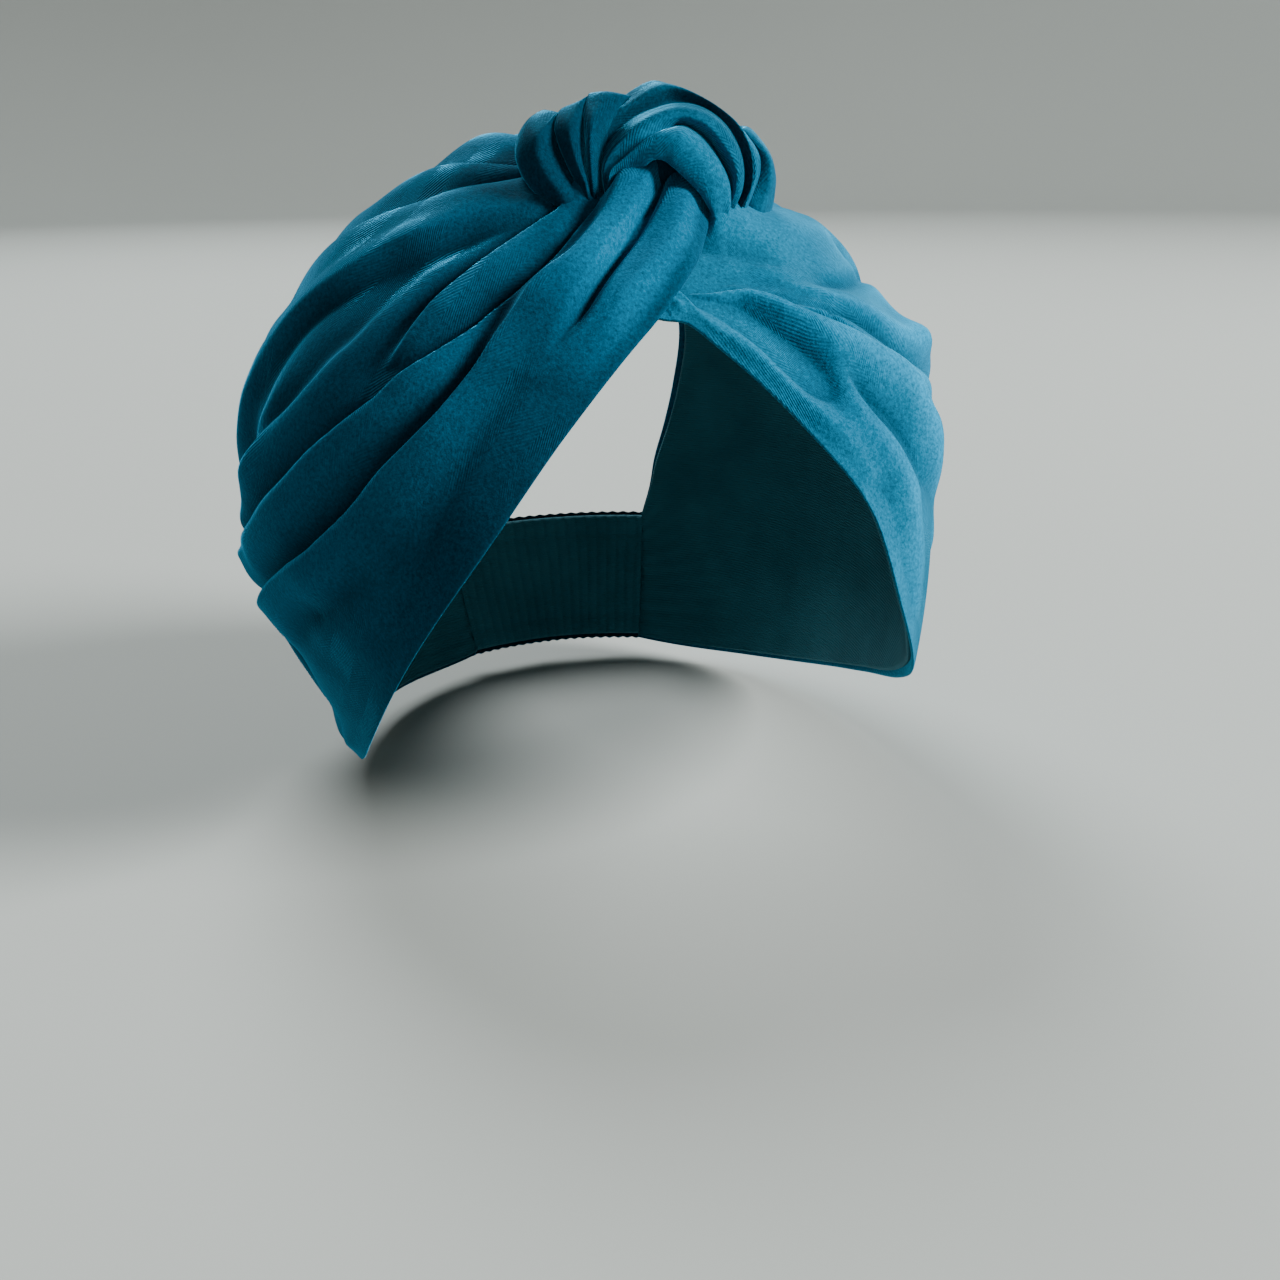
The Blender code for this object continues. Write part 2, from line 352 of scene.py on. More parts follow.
def arc_mm(p):
    """Distance along axis 1 of a point grid."""
    d = np.linalg.norm(np.diff(p, axis=1), axis=2)
    return np.concatenate([np.zeros((p.shape[0], 1)), np.cumsum(d, axis=1)], 1)


# ------------------------------------------------------------------ panel layout
RIGHT_FRONT = [(0, 42, 68), (.05, 26, 64.5), (.1, 13, 57.5), (.15, 3, 51.3), (.2, -6.5, 44),
               (.3, -18, 31), (.4, -28, 16.2), (.5, -40, 0), (.6, -55, -18), (.68, -70, -29.5),
               (.78, -97, -35.5), (.9, -132, -37), (1, -158.5, -36)]
RIGHT_REAR = [(0, 178, 80), (.05, -168, 76.5), (.1, -159, 71), (.2, -154, 63), (.3, -151, 55), (.4, -150, 45),
              (.5, -150, 33), (.6, -151, 22), (.68, -153, 13), (.78, -155, 5), (.9, -157, -4),
              (1, -158.5, -9.5)]
RIGHT_ROOT = [(0, 42, 68), (.1, 38, 75), (.2, 12, 78.5), (.3, -10, 76.5), (.4, -22, 72),
              (.5, -34, 78), (.62, -52, 83), (.75, -95, 85.5), (.88, -145, 84), (1, 178, 80)]
LEFT_FRONT = [(0, -7, 50.5), (.05, 0, 48.8), (.1, 5, 47.6), (.15, 9, 43.3), (.22, 14, 36.8),
              (.3, 19.5, 28.3), (.4, 26, 17.5), (.5, 30.5, 3), (.58, 40, -8.5), (.66, 57, -19.5),
              (.75, 78, -28), (.85, 105, -34.5), (.93, 130, -37), (1, 158.5, -36)]
LEFT_REAR = [(0, 172, 80), (.05, 163, 76), (.1, 157, 71), (.2, 154, 64), (.3, 152, 57), (.4, 150, 47),
             (.5, 150, 36), (.58, 150, 27), (.66, 152, 17), (.75, 154, 9), (.85, 156, 2),
             (.93, 157, -4), (1, 158.5, -9.5)]
LEFT_ROOT = [(0, -7, 50.5), (.1, -1, 54.5), (.2, 5, 58.5), (.3, 11, 62.5), (.4, 19, 66.5),
             (.5, 30, 71), (.6, 44, 76.5), (.7, 70, 81.5), (.82, 118, 84), (1, 172, 80)]


def layout(front, rear, root, s, t):
    S, T = np.meshgrid(s, t, indexing="ij")
    plain = arc(along(front, S), along(rear, S), T)
    first = arc(along(front, S * 0), along(rear, S * 0), T)
    want = along(root, T)
    fade = (1 - smooth(S, 0.0, 0.30))[..., None]
    return S, T, unit(plain + fade * (want - first))


REAR_R, REAR_L = toward(-150, 40), toward(150, 40)


def lines(table, rear):
    return {k: Line(v, rear) for k, v in table.items()}


RIGHT_LINES = lines({
    "axis": [(48, 75), (34, 74), (13, 67.5), (4, 61), (-5, 55), (-11.5, 49.5), (-16, 44.5),
             (-20, 38.5), (-25, 31)],
    "r2": [(34, 80), (16, 76.9), (-2.7, 70), (-11.9, 62.8), (-17.5, 57.5), (-24, 52.3),
           (-27, 48.5), (-29.2, 44.9), (-32.1, 39.2), (-36.2, 32), (-39.1, 28.4), (-42.7, 24.4),
           (-47.8, 18.3), (-56, 11.5), (-62.5, 7.5), (-70, 3), (-82, -6), (-96, -14), (-120, -21), (-146, -26)],
    "r3": [(28, 81), (10.8, 77), (-5.5, 71.2), (-15.2, 64.8), (-21.5, 58.2), (-27.5, 52.5),
           (-32.2, 47.7), (-35, 44.2), (-39.9, 40.1), (-45, 36), (-48.6, 32.3), (-53.2, 28.6),
           (-58.1, 24.8), (-62, 21.5), (-67.1, 17.7), (-79, 9), (-94, 0), (-112, -8), (-132, -15),
           (-151, -21)],
    "r4": [(25, 84), (11.7, 80.9), (-12.8, 73.9), (-20, 70), (-26.5, 65.5), (-32.5, 61.3),
           (-40.6, 53.8), (-44.9, 48), (-47.2, 43.8), (-48.5, 40.4), (-49.5, 38.1)],
    "dent": [(-48.2, 40.4), (-49.8, 37.2), (-52, 34.8)],
    "r5": [(-34, 66), (-45, 58), (-52, 52), (-56.4, 44.6), (-58.8, 40.5), (-62.1, 37),
           (-65, 33.2), (-68.9, 29.3), (-74.6, 25), (-79.2, 20.8), (-90, 10), (-105, 0),
           (-126, -8), (-151, -16)],
    "r5b": [(-66, 47), (-70.6, 42.5), (-75.1, 37.3), (-78, 32), (-79.7, 27.5), (-83, 20),
            (-92, 12), (-106, 4), (-127, -4), (-151, -12)],
    "r6": [(-18, 71), (-32, 69.4), (-44, 66.7), (-52.5, 63.3), (-59.6, 59), (-66.9, 54.9),
           (-72.4, 50.2), (-76.9, 46.5), (-84, 40), (-92, 31), (-98, 22), (-106, 11), (-119, 2),
           (-137, -5), (-152, -10)],
    "r7": [(-33, 75), (-43.9, 72.5), (-53.6, 69.3), (-62.5, 65.9), (-70.4, 62.1), (-77.7, 59.1),
           (-87, 53), (-97, 45), (-105, 35), (-111, 22), (-120, 11), (-134, 3),
           (-152, -7)],
    "r8": [(-40, 77.5), (-55, 75), (-74.1, 71.2), (-88, 67.5), (-99, 62), (-109, 54),
           (-117, 43), (-122, 30), (-129, 17), (-139, 7), (-153, -4)],
    "r9": [(-75, 81), (-100, 77), (-116, 71), (-126, 61), (-131, 49), (-133, 36), (-137, 20)],
    "r10": [(-110, 82.5), (-132, 78), (-141, 70), (-143, 59), (-143, 47), (-144, 34), (-147, 20)],
    "v1": [(50, 77), (33.8, 76.3), (12, 70.3), (-1.2, 63.6), (-11, 56), (-16.5, 49.3),
           (-19.8, 45)],
    "t1": [(42, 78.5), (25, 77), (4.5, 70.8), (-7, 63.8), (-14.5, 56.9), (-20.3, 51),
           (-22.3, 46.5), (-25, 40.5)],
    "t2": [(48, 74), (32, 72.6), (17.5, 66.4), (9.7, 60.9), (1.8, 55.6), (-4.8, 50.8),
           (-10.3, 46.2), (-14.5, 41.8), (-18.8, 37)],
    "hol": [(-47, 11), (-54, 6), (-63, 1), (-75, -9), (-90, -18)],
    "dip": [(-25, 19), (-27, 11), (-29, 4)],
    "low": [(-38, -8), (-50, -17), (-66, -26), (-90, -31), (-120, -33)],
    "s1": [(-67, 11), (-74, 4), (-84, -5), (-100, -12), (-122, -18)],
    "s2": [(-86, 13), (-93, 3), (-104, -5), (-122, -10)],
}, REAR_R)

LEFT_LINES = lines({
    "a": [(4, 53.2), (11, 52.2), (19, 51.2), (23.5, 48.3), (26.2, 45.2), (29.5, 42.4),
          (32.7, 40.2), (37, 37.2), (40.7, 34.6), (43.6, 32), (46, 27.5), (49, 20), (56, 9),
          (67, -3), (85, -14), (112, -22), (146, -27)],
    "b": [(22, 51.5), (27.6, 49.4), (32.2, 47.4), (36.8, 45.6), (40, 43.3), (42.6, 40.1),
          (46, 36.6), (51.4, 33), (58, 30), (67, 24), (80, 13), (96, 2), (119, -8), (148, -17)],
    "b2": [(32, 54), (38, 51), (45.5, 47), (50, 44), (55, 40.4), (61, 37), (67.5, 34.6),
           (78, 28), (92, 16), (108, 5), (129, -5), (150, -13)],
    "b2v": [(26, 50), (31, 48.6), (37.2, 46.6), (42.4, 43.9), (47.9, 40.7), (53.3, 36.8),
            (62, 32), (72, 25)],
    "bv": [(6, 54), (12, 52.9), (20, 52), (25, 50.4), (30, 49.4), (34, 48.8)],
    "nv": [(31, 53.5), (40, 51), (51, 48.8), (60, 47.8), (68, 47.2), (76, 46.8), (88, 42), (99, 31), (110, 17),
           (126, 4), (151, -9)],
    "h": [(7, 52.3), (11.2, 50.6), (14.6, 48), (17.4, 45), (20.4, 41), (23, 37.4), (24.6, 34.4),
          (25.4, 32)],
    "hf": [(4, 52), (6.8, 50), (8.9, 47), (11.8, 43.7), (15.2, 40), (18.2, 36.2), (20.6, 33),
           (23.2, 28), (26, 22)],
    "c": [(38, 44.6), (36.8, 42), (38.6, 38.6), (43, 35)],
    "fb": [(27.6, 40.4), (29, 36.4), (29, 32.7), (30.4, 29), (33, 25), (35.2, 20.6),
           (36.4, 16), (36.6, 10), (38, 2), (43, -8), (54, -17)],
    "fbv": [(30.6, 36), (32.8, 31.8), (36.2, 27.6), (38.6, 23.6), (39.8, 18.8), (41, 12),
            (46, 4), (56, -4)],
    "puff": [(17, 64), (24, 61.5), (31, 59.4), (36, 56.6)],
    "p1": [(30, 66), (42, 64), (55, 61.5), (68, 59.5), (82, 57), (95, 49), (107, 36),
           (116, 22), (130, 8), (151, -7)],
    "p2": [(70, 73), (85, 68), (99, 61), (111, 51), (119, 38), (126, 22), (137, 9), (152, -4)],
    "p3": [(100, 79), (118, 73), (129, 64), (134, 51), (136, 38), (141, 21), (150, 3)],
    "p4": [(135, 77), (142, 69), (144, 58), (144, 46), (145, 33), (148, 18)],
    "u1": [(0, 52.6), (2.6, 51), (4.5, 47.9), (7.3, 44.7), (10.6, 41.9)],
    "u2": [(2.5, 53.6), (5, 52), (6.5, 49), (8.6, 45.9), (11.2, 43), (14, 39.6)],
    "n1": [(44.5, 29), (49.5, 26.4), (57, 24.5), (68, 17), (82, 6)],
    "n2": [(38, 15.6), (42, 12.8), (50, 7), (62, -2)],
    "low": [(34, -6), (46, -15), (66, -24), (92, -30), (122, -32)],
    "q1": [(57, 22), (66, 12), (78, 1), (96, -9), (120, -17), (148, -23)],
    "q2": [(70, 25), (82, 15), (96, 6), (116, -4), (148, -15)],
    "q3": [(80, 36), (92, 27), (106, 14), (124, 1), (151, -11)],
}, REAR_L)


def nape_gather(S, T, seed):
    """Gathers that run into the casing seam; grows over the last stretch."""
    rng = np.random.RandomState(seed)
    h = np.zeros_like(S)
    n = 11
    for j in range(n):
        c = (j + 0.5 + 0.35 * (rng.rand() - 0.5)) / n
        drift = 0.035 * math.sin(j * 1.7) * (1 - S)
        a = 0.7 + 0.6 * rng.rand()
        start = 0.70 + 0.16 * rng.rand()
        wide = 0.030 + 0.010 * rng.rand()
        h += a * np.exp(-((T - c - drift) / wide) ** 2) * smooth(S, start, 0.99)
    return h * 1.5


# Local corrections of the stand-off: azimuth, elevation, reach, millimetres.
RIGHT_TRIM = [(-111, 77, 7, 2.4), (-107, 60, 5, -1.8), (-101, 41, 6, -1.8), (-84, 4, 8, 1.6),
              (-82, -9, 6, -2.6), (-80, -26, 8, -1.8),
              (-82, -10, 5.5, -4.6), (-88.5, 13.5, 5, -2.2), (-84, 4, 3.5, -1.2),
              (-90, 19, 4, -1.2), (-81, -17, 4, -1.4), (-97, -13, 8, -5.4)]
LEFT_TRIM = [(52, 10, 12, -1.8), (45, -4, 12, -1.6), (34, 40, 9, 0.8), (20, 38, 6, -0.6),
             (30, 68, 7, 4.2), (61, 25, 5, -1.6), (82, 59, 6, -1.2),
             (58, 20, 6, -3.0), (51.5, 10, 6, -2.4), (67, 35.5, 4, 2.6),
             (76.5, 48.5, 3.5, -2.4), (66, 20, 5, -2.2), (83, 50, 4, -1.8)]


def trim(W, table):
    out = np.zeros(len(W))
    for az, el, wide, mm in table:
        out += mm * bump(W, az, el, wide)
    return out


def right_height(W, S, T):
    L = RIGHT_LINES
    h = stand(W) - 2.9 + trim(W, RIGHT_TRIM)
    move = np.zeros((len(W), 3))

    def add(out):
        nonlocal h, move
        h = h + out[0]
        move = move + out[1]

    # the rope: the leading part drawn together into two fat tubes
    add(crest(W, L["axis"], [(0, 5.6), (.2, 5.2), (.45, 3.6), (.7, 1.6), (1, .2)],
              [(0, 12), (1, 14)], [(0, 11), (1, 14)], sharp=2))
    add(crest(W, L["t2"], [(0, 3.8), (.3, 4.0), (.55, 3.2), (.8, 1.7), (1, .3)],
              [(0, 5.0), (.5, 6.5), (1, 9)], [(0, 5.6), (.5, 6.5), (1, 8)], sharp=2))
    add(crest(W, L["t1"], [(0, 5.4), (.3, 5.2), (.55, 3.6), (.8, 2.8), (1, 1.0)],
              [(0, 2.8), (.5, 3.6), (1, 5)], [(0, 3.6), (.5, 4.5), (1, 7)], sharp=2))
    h = h + valley(W, L["v1"], [(0, 2.4), (.2, 3.6), (.4, 5.0), (.6, 4.8), (.85, 3.4), (1, .8)],
                   [(0, 1.0), (.5, 1.35), (1, 1.5)])
    # pleat edges that lie over one another
    add(crest(W, L["r2"], [(0, 1.6), (.12, 1.8), (.3, 3.0), (.5, 5.6), (.72, 5.6), (.86, 3.0), (1, .8)],
              [(0, 2.0), (.15, 3.0), (.4, 9), (.7, 15), (1, 18)],
              [(0, .9), (.3, 1.4), (.6, 2.3), (.8, 3.6), (1, 7)], lean=.5, trough=.5, sharp=1.25))
    add(crest(W, L["r3"], [(0, 1.8), (.12, 2.2), (.3, 3.2), (.5, 4.8), (.68, 4.6), (.82, 2.4), (1, .8)],
              [(0, 1.8), (.15, 2.8), (.4, 6.5), (.7, 10), (1, 13)],
              [(0, .9), (.3, 1.4), (.6, 2.3), (.8, 3.8), (1, 7)], lean=.5, trough=.45, sharp=1.25))
    add(crest(W, L["r4"], [(0, 2.4), (.2, 3.0), (.5, 3.4), (.8, 3.0), (1, 1.0)],
              [(0, 2.2), (.4, 5.0), (1, 8)], [(0, .9), (.5, 1.5), (1, 2.2)],
              lean=.45, trough=.4, sharp=1.25))
    h = h + valley(W, L["dent"], [(0, .6), (.4, 2.0), (1, .3)], [(0, 1.4), (1, 3)])
    add(crest(W, L["r5"], [(0, .6), (.25, 1.6), (.4, 3.0), (.75, 3.2), (1, 1.2)],
              [(0, 5), (.4, 5), (1, 9)], [(0, 3), (.4, 2.4), (.7, 3.2), (1, 7)],
              lean=.25, trough=.3, sharp=1.3))
    add(crest(W, L["r5b"], [(0, .3), (.3, 2.2), (.7, 2.4), (1, .8)],
              [(0, 4), (1, 6)], [(0, 2.4), (1, 5)], trough=.2, sharp=1.3))
    add(crest(W, L["r6"], [(0, 3.4), (.2, 4.4), (.5, 4.4), (.8, 2.8), (1, 1.0)],
              [(0, 2.2), (.3, 3.6), (.7, 6), (1, 11)], [(0, 5), (.3, 7), (1, 9)], sharp=1.4))
    add(crest(W, L["r7"], [(0, 2.8), (.3, 3.6), (.6, 3.0), (1, 1.2)],
              [(0, 3), (.3, 6), (1, 8)], [(0, 1.1), (.3, 1.6), (1, 4)], lean=.4, trough=.45, sharp=1.4))
    add(crest(W, L["r8"], [(0, 2.6), (.3, 3.6), (.6, 2.8), (1, 1.0)],
              [(0, 3), (.3, 6), (1, 8)], [(0, 1.2), (.3, 1.8), (1, 4)], lean=.4, trough=.45, sharp=1.4))
    add(crest(W, L["r9"], [(0, 2.2), (.4, 3.2), (1, 1.0)], [(0, 4), (1, 8)],
              [(0, 1.8), (1, 4)], lean=.35, trough=.35, sharp=1.4))
    add(crest(W, L["r10"], [(0, 2.0), (.4, 2.8), (1, 1.0)], [(0, 4), (1, 7)],
              [(0, 1.8), (1, 4)], lean=.35, trough=.35, sharp=1.4))
    h = h + valley(W, L["hol"], [(0, .6), (.3, 3.0), (.5, 1.6), (.7, .6), (1, .3)], [(0, 4), (1, 6)])
    h = h + valley(W, L["dip"], [(0, .3), (.5, 1.1), (1, .3)], [(0, 6), (1, 6)])
    add(crest(W, L["low"], [(0, .5), (.4, 2.0), (1, 1.4)], [(0, 5), (1, 4)], [(0, 5), (1, 4)]))
    add(crest(W, L["s1"], [(0, .6), (.4, 2.6), (1, 1.2)], [(0, 6), (1, 5)], [(0, 2.4), (1, 4)],
              lean=.3, trough=.3, sharp=1.4))
    add(crest(W, L["s2"], [(0, .6), (.4, 2.4), (1, 1.2)], [(0, 5), (1, 5)], [(0, 2.4), (1, 4)],
              lean=.3, trough=.3, sharp=1.4))
    return h, move


def left_height(W, S, T):
    L = LEFT_LINES
    h = stand(W) - 2.6 + trim(W, LEFT_TRIM)
    move = np.zeros((len(W), 3))

    def add(out):
        nonlocal h, move
        h = h + out[0]
        move = move + out[1]

    add(crest(W, L["a"], [(0, 1.4), (.05, 3.2), (.12, 5.2), (.20, 6.2), (.29, 6.0), (.37, 4.4), (.45, 2.4), (.56, 1.2), (1, 1.2)],
              [(0, 1.4), (.08, 2.8), (.18, 5.6), (.29, 6.4), (.37, 4.8), (.48, 3.8), (1, 6)],
              [(0, 1.6), (.10, 2.6), (.20, 3.8), (.34, 3.6), (.48, 5), (1, 9)], lean=.2, trough=.1, sharp=1.7))
    add(crest(W, L["b"], [(0, .8), (.2, 2.6), (.5, 3.4), (.75, 2.4), (1, 1.0)],
              [(0, 1.2), (.3, 1.8), (.5, 2.2), (1, 5)], [(0, 2.4), (.5, 3.6), (1, 7)],
              lean=.4, trough=.25, sharp=1.5))
    add(crest(W, L["b2"], [(0, 1.0), (.2, 2.4), (.45, 4.2), (.62, 5.2), (.8, 3.0), (1, 1.0)],
              [(0, 2.0), (.5, 3.4), (1, 6)], [(0, 3), (.5, 5), (1, 8)], lean=.2, trough=.15, sharp=1.7))
    h = h + valley(W, L["b2v"], [(0, .8), (.3, 1.8), (.7, 2.2), (1, .6)], [(0, 1.0), (1, 2.0)])
    h = h + valley(W, L["bv"], [(0, 1.0), (.3, 2.6), (.7, 2.2), (1, .6)], [(0, 1.1), (1, 1.4)])
    h = h + valley(W, L["nv"], [(0, .6), (.25, 1.8), (.5, 3.2), (.72, 3.6), (1, .8)],
                   [(0, 2.0), (.5, 3.2), (.75, 5.5), (1, 6.0)])
    h = h + valley(W, L["h"], [(0, 1.2), (.3, 3.6), (.6, 6.0), (.85, 5.4), (1, 1.4)],
                   [(0, 1.1), (.4, 2.6), (.8, 4.4), (1, 5.0)])
    add(crest(W, L["hf"], [(0, 1.0), (.3, 3.4), (.75, 3.6), (1, 2.0)],
              [(0, 3.0), (.3, 5), (.5, 6.5), (1, 8)], [(0, 2.2), (.4, 4.2), (1, 7)], sharp=2))
    h = h + valley(W, L["c"], [(0, .8), (.5, 2.0), (1, .6)], [(0, .9), (1, 1.2)])
    add(crest(W, L["fb"], [(0, .8), (.12, 3.0), (.35, 4.0), (.55, 2.2), (.75, .8), (1, .8)],
              [(0, 3.4), (.35, 5.5), (1, 9)], [(0, 3.0), (.4, 4.0), (1, 6)], sharp=2))
    h = h + valley(W, L["fbv"], [(0, .6), (.3, 2.4), (.6, 1.4), (1, .4)], [(0, 2.0), (1, 4)])
    h = h + valley(W, L["puff"], [(0, 1.6), (.5, 2.2), (1, .4)], [(0, 4), (1, 5)])
    add(crest(W, L["p1"], [(0, 3.0), (.25, 4.6), (.5, 4.4), (.7, 3.6), (1, 1.0)],
              [(0, 10), (.7, 8), (1, 8)], [(0, 9), (1, 8)], sharp=2))
    add(crest(W, L["p2"], [(0, 2.6), (.4, 3.2), (1, 1.0)], [(0, 4), (1, 8)],
              [(0, 1.8), (1, 4)], lean=.35, trough=.35, sharp=1.4))
    add(crest(W, L["p3"], [(0, 2.4), (.4, 3.0), (1, 1.0)], [(0, 4), (1, 8)],
              [(0, 1.8), (1, 4)], lean=.35, trough=.35, sharp=1.4))
    add(crest(W, L["p4"], [(0, 2.0), (.4, 2.6), (1, 1.0)], [(0, 4), (1, 7)],
              [(0, 1.8), (1, 4)], lean=.35, trough=.35, sharp=1.4))
    add(crest(W, L["u1"], [(0, 1.6), (.4, 1.7), (1, .2)], [(0, 2.2), (1, 3)],
              [(0, .7), (1, 1.0)], lean=.3, trough=.35))
    add(crest(W, L["u2"], [(0, 1.6), (.5, 1.7), (1, .2)], [(0, 1.8), (1, 3)],
              [(0, .7), (1, 1.0)], lean=.3, trough=.35))
    h = h + valley(W, L["n1"], [(0, .2), (.3, 2.6), (.6, 2.4), (1, .8)], [(0, 2.0), (1, 4)])
    h = h + valley(W, L["n2"], [(0, .2), (.4, 2.0), (1, .6)], [(0, 2.2), (1, 4)])
    add(crest(W, L["low"], [(0, .5), (.4, 1.6), (1, 1.2)], [(0, 5), (1, 4)], [(0, 5), (1, 4)]))
    add(crest(W, L["q1"], [(0, .3), (.25, 2.4), (.7, 2.6), (1, 1.4)], [(0, 5), (1, 4)],
              [(0, 2.2), (1, 2.4)], lean=.3, trough=.35, sharp=1.4))
    add(crest(W, L["q2"], [(0, .3), (.25, 2.2), (.7, 2.6), (1, 1.4)], [(0, 5), (1, 4)],
              [(0, 2.2), (1, 2.4)], lean=.3, trough=.35, sharp=1.4))
    add(crest(W, L["q3"], [(0, .3), (.3, 2.6), (.7, 2.6), (1, 1.4)], [(0, 6), (1, 4)],
              [(0, 2.4), (1, 2.4)], lean=.3, trough=.35, sharp=1.4))
    return h, move


def make_panel(name, side):
    nu, nv = int(300 * RES), int(320 * RES)
    s = np.concatenate([np.linspace(0, 0.3, int(nu * .42), endpoint=False),
                        np.linspace(0.3, 1, nu - int(nu * .42))])
    t = spread(nv, 0.05, 0.10)
    parts = ((RIGHT_FRONT, RIGHT_REAR, RIGHT_ROOT) if side < 0
             else (LEFT_FRONT, LEFT_REAR, LEFT_ROOT))
    S, T, W = layout(*parts, s, t)
    shape = S.shape
    w = W.reshape(-1, 3)
    form = Form(w)
    h, move = (right_height if side < 0 else left_height)(w, S.ravel(), T.ravel())
    h = h.reshape(shape)
    move = move.reshape(*shape, 3)
    flat = form.at(np.full(len(w), 6.0)).reshape(*shape, 3)
    near = arc_mm(flat)
    e_front, e_rear = near, near[:, -1:] - near
    # the tail: calm down and gather into the casing seam
    tail = smooth(S, 0.84, 1.0)
    h = h * (1 - tail) + tail * 5.2 + nape_gather(S, T, 5 if side < 0 else 9)
    h = h + 0.35 * ripple(flat, 11 if side < 0 else 12, 34) + 0.16 * ripple(flat, 21, 13)
    # keep the leading edge close to the head, the rear edge a little looser
    if side < 0:
        lift = 1 - smooth(S, 0.10, 0.19)         # the rope rides over the other panel
        floor_in = 2.3 + (3.0 + 2.2 * smooth(e_front, 1.0, 7.0)) * lift
        cap = 3.6 + 5.0 * lift
    else:
        lift = 0 * S
        floor_in = 2.2 + 0 * S
        cap = 3.6 + 0 * S
    ease = smooth(e_front, 0.0, (8.0 + 3.0 * (1 - lift)) if side < 0 else 6.5)
    h = np.minimum(h, cap + (h - cap).clip(0) * ease)
    ease = smooth(e_rear, 0.0, 14.0)
    h = 5.4 + (h - 5.4) * (0.35 + 0.65 * ease)
    if side > 0:                                  # tucked under the rope
        under = (1 - smooth(S, 0.02, 0.085)) * (1 - smooth(T, 0.30, 0.62))
        h = h * (1 - under) + under * np.minimum(h, 5.0)
    h = np.maximum(h, floor_in + 1.1)
    top, low = h, np.maximum(h - 2.3, floor_in)
    mid = floor_in + 0.9
    e = np.minimum(e_front, e_rear)
    top, low = rolled(top, low, e, 2.6, mid)
    moved = move * 1.0
    outer = form.at(top.ravel()).reshape(*shape, 3) + moved * smooth(e, 0, 6)[..., None]
    inner = form.at(low.ravel()).reshape(*shape, 3) + moved * smooth(e, 0, 6)[..., None]
    # painted light and shade: on the right, painted light on the rope where the loop's shadow falls and on the
    # crown near the knot; on the left, lighter towards the front edge and darker towards the rear
    rope = (1 - smooth(S, 0.12, 0.32)) * smooth(e_front, 1, 6) * (1 - smooth(e_front, 22, 34))
    painted_light_shade = (1.30 * rope + 0.65 * smooth(T, 0.50, 0.75) * (1 - smooth(S, 0.30, 0.55))
               if side < 0 else 0.20 * (1 - smooth(T, 0.35, 0.7)) - 0.22 * smooth(T, 0.5, 0.9))
    return two_faces(name, outer, inner, painted_light_shade)


def make_lining(name, side):
    nu, nv = int(110 * RES), int(90 * RES)
    s, t = np.linspace(0.02, 1, nu), spread(nv, 0.03, 0.08)
    parts = ((RIGHT_FRONT, RIGHT_REAR, RIGHT_ROOT) if side < 0
             else (LEFT_FRONT, LEFT_REAR, LEFT_ROOT))
    front = [st for st in parts[0]]
    S, T, W = layout(front, parts[1], parts[2], s, 0.012 + 0.976 * t)
    shape = S.shape
    w = W.reshape(-1, 3)
    form = Form(w)
    flat = form.at(np.full(len(w), 1.0)).reshape(*shape, 3)
    near = arc_mm(flat)
    e = np.minimum(near, near[:, -1:] - near)
    wave = 0.28 * ripple(flat, 31 + side, 42) + 0.10 * ripple(flat, 41, 15)
    wave = wave + 0.5 * (nape_gather(S, T, 15 + side) / 1.5) * smooth(S, .7, 1)
    top = 1.95 + wave * 0.4
    low = 0.85 + wave
    low = np.minimum(low, top - 0.5)
    if side < 0:
        lift = 1 - smooth(S, 0.10, 0.19)
        up = (2.6 + 2.4 * smooth(e, 1.0, 8.0)) * lift
        top = top + up
        low = low + up
    top, low = rolled(top, low, e, 0.8, (top + low) / 2)
    return two_faces(name, form.at(top.ravel()).reshape(*shape, 3),
                     form.at(low.ravel()).reshape(*shape, 3))


# ------------------------------------------------------------------ knot
def closed_sections(ctrl, counts):
    """Smooth closed sections through control points; ctrl (stations, points, 3)."""
    prev, nxt, nxt2 = (np.roll(ctrl, k, axis=1) for k in (1, -1, -2))
    gap = lambda a, b: np.maximum(np.linalg.norm(a - b, axis=2, keepdims=True), 1e-3) ** 0.5
    d0, d1, d2 = gap(ctrl, prev), gap(nxt, ctrl), gap(nxt2, nxt)
    m0 = ((ctrl - prev) / d0 - (nxt - prev) / (d0 + d1) + (nxt - ctrl) / d1) * d1
    m1 = ((nxt - ctrl) / d1 - (nxt2 - ctrl) / (d1 + d2) + (nxt2 - nxt) / d2) * d1
    out = []
    for j, n in enumerate(counts):
        t = (np.arange(n) / n)[None, :, None]
        p0, p1 = ctrl[:, j:j + 1], nxt[:, j:j + 1]
        out.append((2 * t ** 3 - 3 * t ** 2 + 1) * p0 + (t ** 3 - 2 * t ** 2 + t) * m0[:, j:j + 1]
                   + (3 * t ** 2 - 2 * t ** 3) * p1 + (t ** 3 - t ** 2) * m1[:, j:j + 1])
    return np.concatenate(out, axis=1)


def stretch_out(ctrl, n):
    """More stations between the measured ones."""
    mid = ctrl.mean(1)
    k = np.concatenate([[0], np.cumsum(np.linalg.norm(np.diff(mid, axis=0), axis=1))])
    flat = ctrl.reshape(len(ctrl), -1)
    return hermite(k, flat, np.linspace(0, k[-1], n)).reshape(n, *ctrl.shape[1:])


def even(counts):
    """Segment counts that add up to an even number."""
    counts = [max(2, int(c * RES)) for c in counts]
    if sum(counts) % 2:
        counts[0] += 1
    return counts


